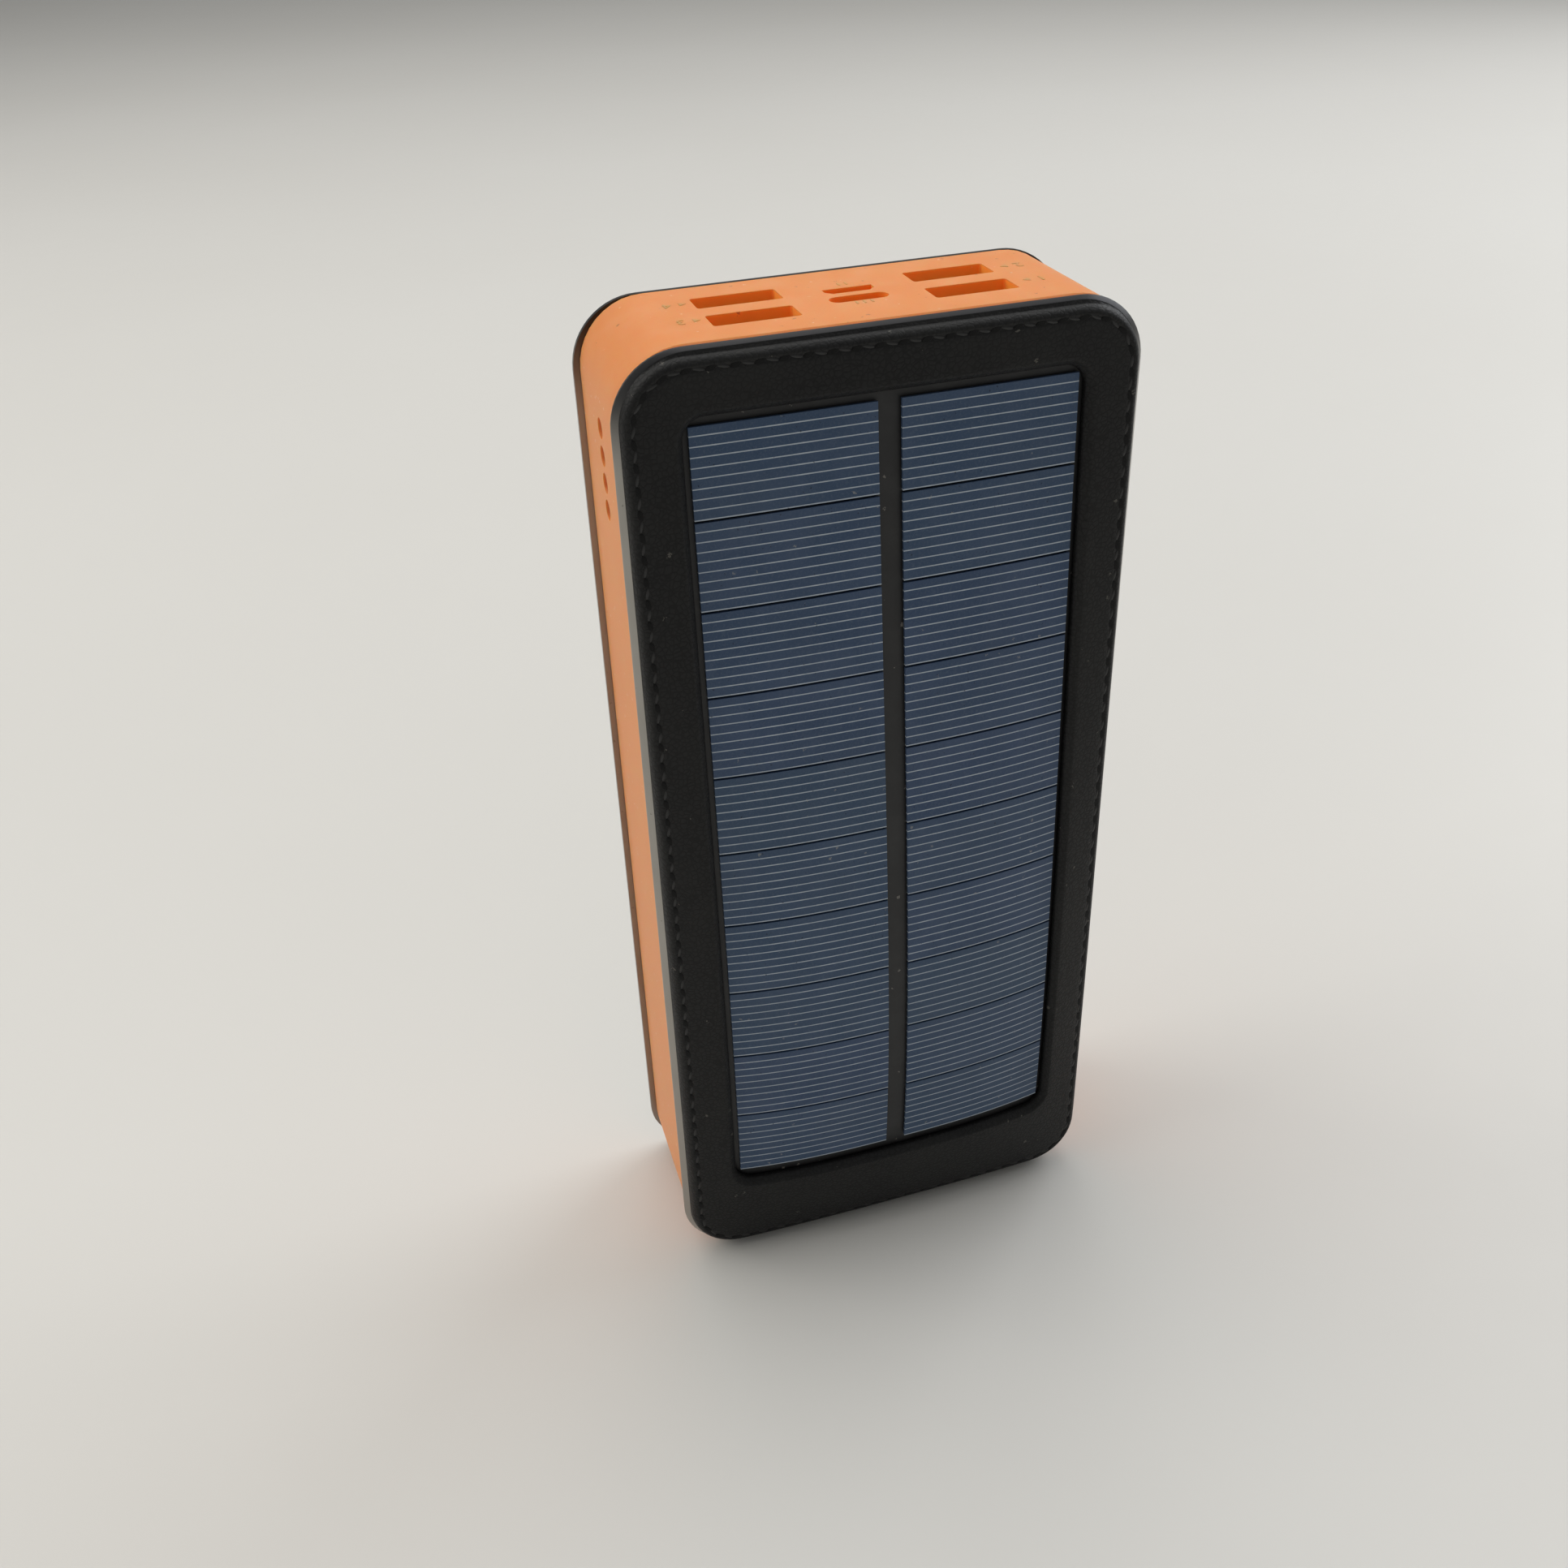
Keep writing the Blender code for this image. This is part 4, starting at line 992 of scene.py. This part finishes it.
def rear_lines():
    """The flat cover's loops, from its band over its face to the lamp opening and tongue."""
    def flat(points, y):
        return [(x, y, z) for x, z in points]

    def lamp_line(outset):
        return outline(
            LAMP_LOW.x + outset, LAMP_LOW.z - outset, LAMP_HIGH.z + outset, LAMP_CORNER + outset
        )

    joint = REAR_Y - REAR_JOINT
    loops = [flat(cover_line(0.0), joint)]
    for step in range(ROUND_STEPS + 1):
        angle = math.radians(90.0 * step / ROUND_STEPS)
        loops.append(flat(
            cover_line(REAR_ROUND * (1.0 - math.cos(angle))),
            REAR_Y - REAR_ROUND * (1.0 - math.sin(angle)),
        ))
    for inset, depth in GROOVE:
        loops.append(flat(cover_line(STITCH_INSET + inset * MM), REAR_Y - depth * MM))
    border = cover_line(BORDER_INSET)
    rim = lamp_line(LAMP_LIP[0][0] * MM)
    loops += [
        flat(between(border, rim, step / BORDER_LOOPS), REAR_Y) for step in range(BORDER_LOOPS)
    ]
    loops += [flat(lamp_line(outset * MM), REAR_Y - depth * MM) for outset, depth in LAMP_LIP]
    loops.append(flat(lamp_line(0.0), REAR_Y - SKIN))
    loops.append(flat(cover_line(TONGUE_INSETS[1]), REAR_Y - SKIN))
    for inset, y in (
        (TONGUE_INSETS[1], joint - TONGUE_DEPTH), (TONGUE_INSETS[0], joint - TONGUE_DEPTH),
        (TONGUE_INSETS[0], joint),
    ):
        loops.append(flat(cover_line(inset), y))
    return loops


back_cover = ring_shell("rear_cover_skin", rear_lines(), BAND_LOOPS)
settle(back_cover, "housing", "black_skin", skin, band, nodes=("rear_cover",))
points = [(x, REAR_Y - SINK, z) for x, z in cover_line(STITCH_INSET)]
rear_sewing = stitched("rear_stitches", points, [(0.0, 1.0, 0.0)] * len(points))
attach(rear_sewing, "housing")


# Lamp: a frosted panel held by its flange behind the rear cover, with a white board of ten light
# chips behind it. Its inner face is moulded with small lenses.
def frosted_panel():
    paint = Finish("frosted_panel", Subsurface_Weight=0.3, Subsurface_Scale=1.0 * MM, IOR=1.49)
    lens = paint.cells(1.6 * MM, order=0.0)
    frost = paint.noise(0.12 * MM, 2.0)
    # Painted light and shade: each small lens is painted lighter in its middle and darker where it
    # meets the next, following the bump.
    milk = paint.blend((0.84, 0.84, 0.81), (0.68, 0.69, 0.67), lens.ramp(0.2, 0.7))
    milk = paint.blend(milk, (0.4, 0.37, 0.3), paint.specks(2.4 * MM, 0.12, 0.83) * 0.5)
    return paint.done(milk, 0.38 + frost * 0.15, frost * 0.1 - lens, 0.25 * MM, 0.6)


CHIPS_FROM = 1.05 * MM


def lamp_mask():
    """White solder mask; the chips that stand on it are yellow where they light."""
    paint = Finish("lamp_mask")
    _, deep, _ = paint.axes()
    board_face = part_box("lamp_board")[0].y + CHIPS_FROM
    chip = deep.above(board_face)
    dust = paint.noise(3.0 * MM, 3.0).ramp(0.5, 0.8)
    white = paint.blend((0.82, 0.82, 0.8), (0.66, 0.64, 0.58), dust * 0.5)
    white = paint.blend(white, (0.86, 0.68, 0.14), chip)
    return paint.done(white, 0.4 + dust * 0.15, dust, 0.01 * MM, 0.4)


panel = rounded_copy("lamp_panel", "lamp_diffuser", 0.2 * MM, 3)
settle(panel, "housing", "frosted_plastic", frosted_panel(), nodes=("lamp_diffuser",))
use("lamp_board", lamp_mask())


# Surroundings: a plain pale table top under soft window light from both sides, and the camera,
# which looks down on the standing object from in front and to its left.
def table_top():
    paint = Finish("table_top")
    drift = paint.noise(0.35, 3.0)
    fine = paint.noise(0.012, 3.0)
    pale = paint.blend((0.655, 0.64, 0.605), (0.69, 0.68, 0.65), drift)
    return paint.done(pale, 0.42 + fine * 0.08, fine, 0.00002, 0.3)


def soft_light(name, place, goal, size, power, colour):
    lamp = bpy.data.lights.new(name, "AREA")
    lamp.size = size
    lamp.energy = power
    lamp.color = colour
    item = bpy.data.objects.new(name, lamp)
    bpy.context.scene.collection.objects.link(item)
    item.location = place
    item.rotation_euler = (Vector(goal) - Vector(place)).to_track_quat("-Z", "Y").to_euler()


FLOOR_HALF = 5.0
shape = bmesh.new()
bmesh.ops.create_grid(shape, x_segments=8, y_segments=8, size=FLOOR_HALF)
floor = new_piece("table_surface", shape)
floor.data.materials.append(table_top())

world = bpy.data.worlds.new("soft_room")
world.use_nodes = True
background = world.node_tree.nodes["Background"]
background.inputs["Color"].default_value = (0.93, 0.935, 0.92, 1.0)
background.inputs["Strength"].default_value = 0.3
bpy.context.scene.world = world
aim = (0.0, 0.0, 0.09)
soft_light("right_window", (1.4, 0.45, 1.0), aim, 1.3, 15.5, (0.95, 0.97, 1.0))
soft_light("left_window", (-1.3, 0.35, 1.1), aim, 1.2, 11.5, (1.0, 0.97, 0.92))
soft_light("ceiling", (-0.1, 0.7, 1.7), (0.0, 0.1, 0.0), 1.7, 14.5, (1.0, 0.985, 0.96))

lens = bpy.data.cameras.new("view")
lens.sensor_width = 36.0
lens.lens = 35.364
lens.shift_x = 0.00927
lens.shift_y = -0.04594
lens.clip_start = 0.01
camera = bpy.data.objects.new("view", lens)
bpy.context.scene.collection.objects.link(camera)
camera.location = (-0.07644, -0.21344, 0.24474)
camera.rotation_euler = [math.radians(turn) for turn in (58.866, 2.131, -16.931)]
bpy.context.scene.camera = camera
bpy.context.scene.view_settings.view_transform = "Standard"
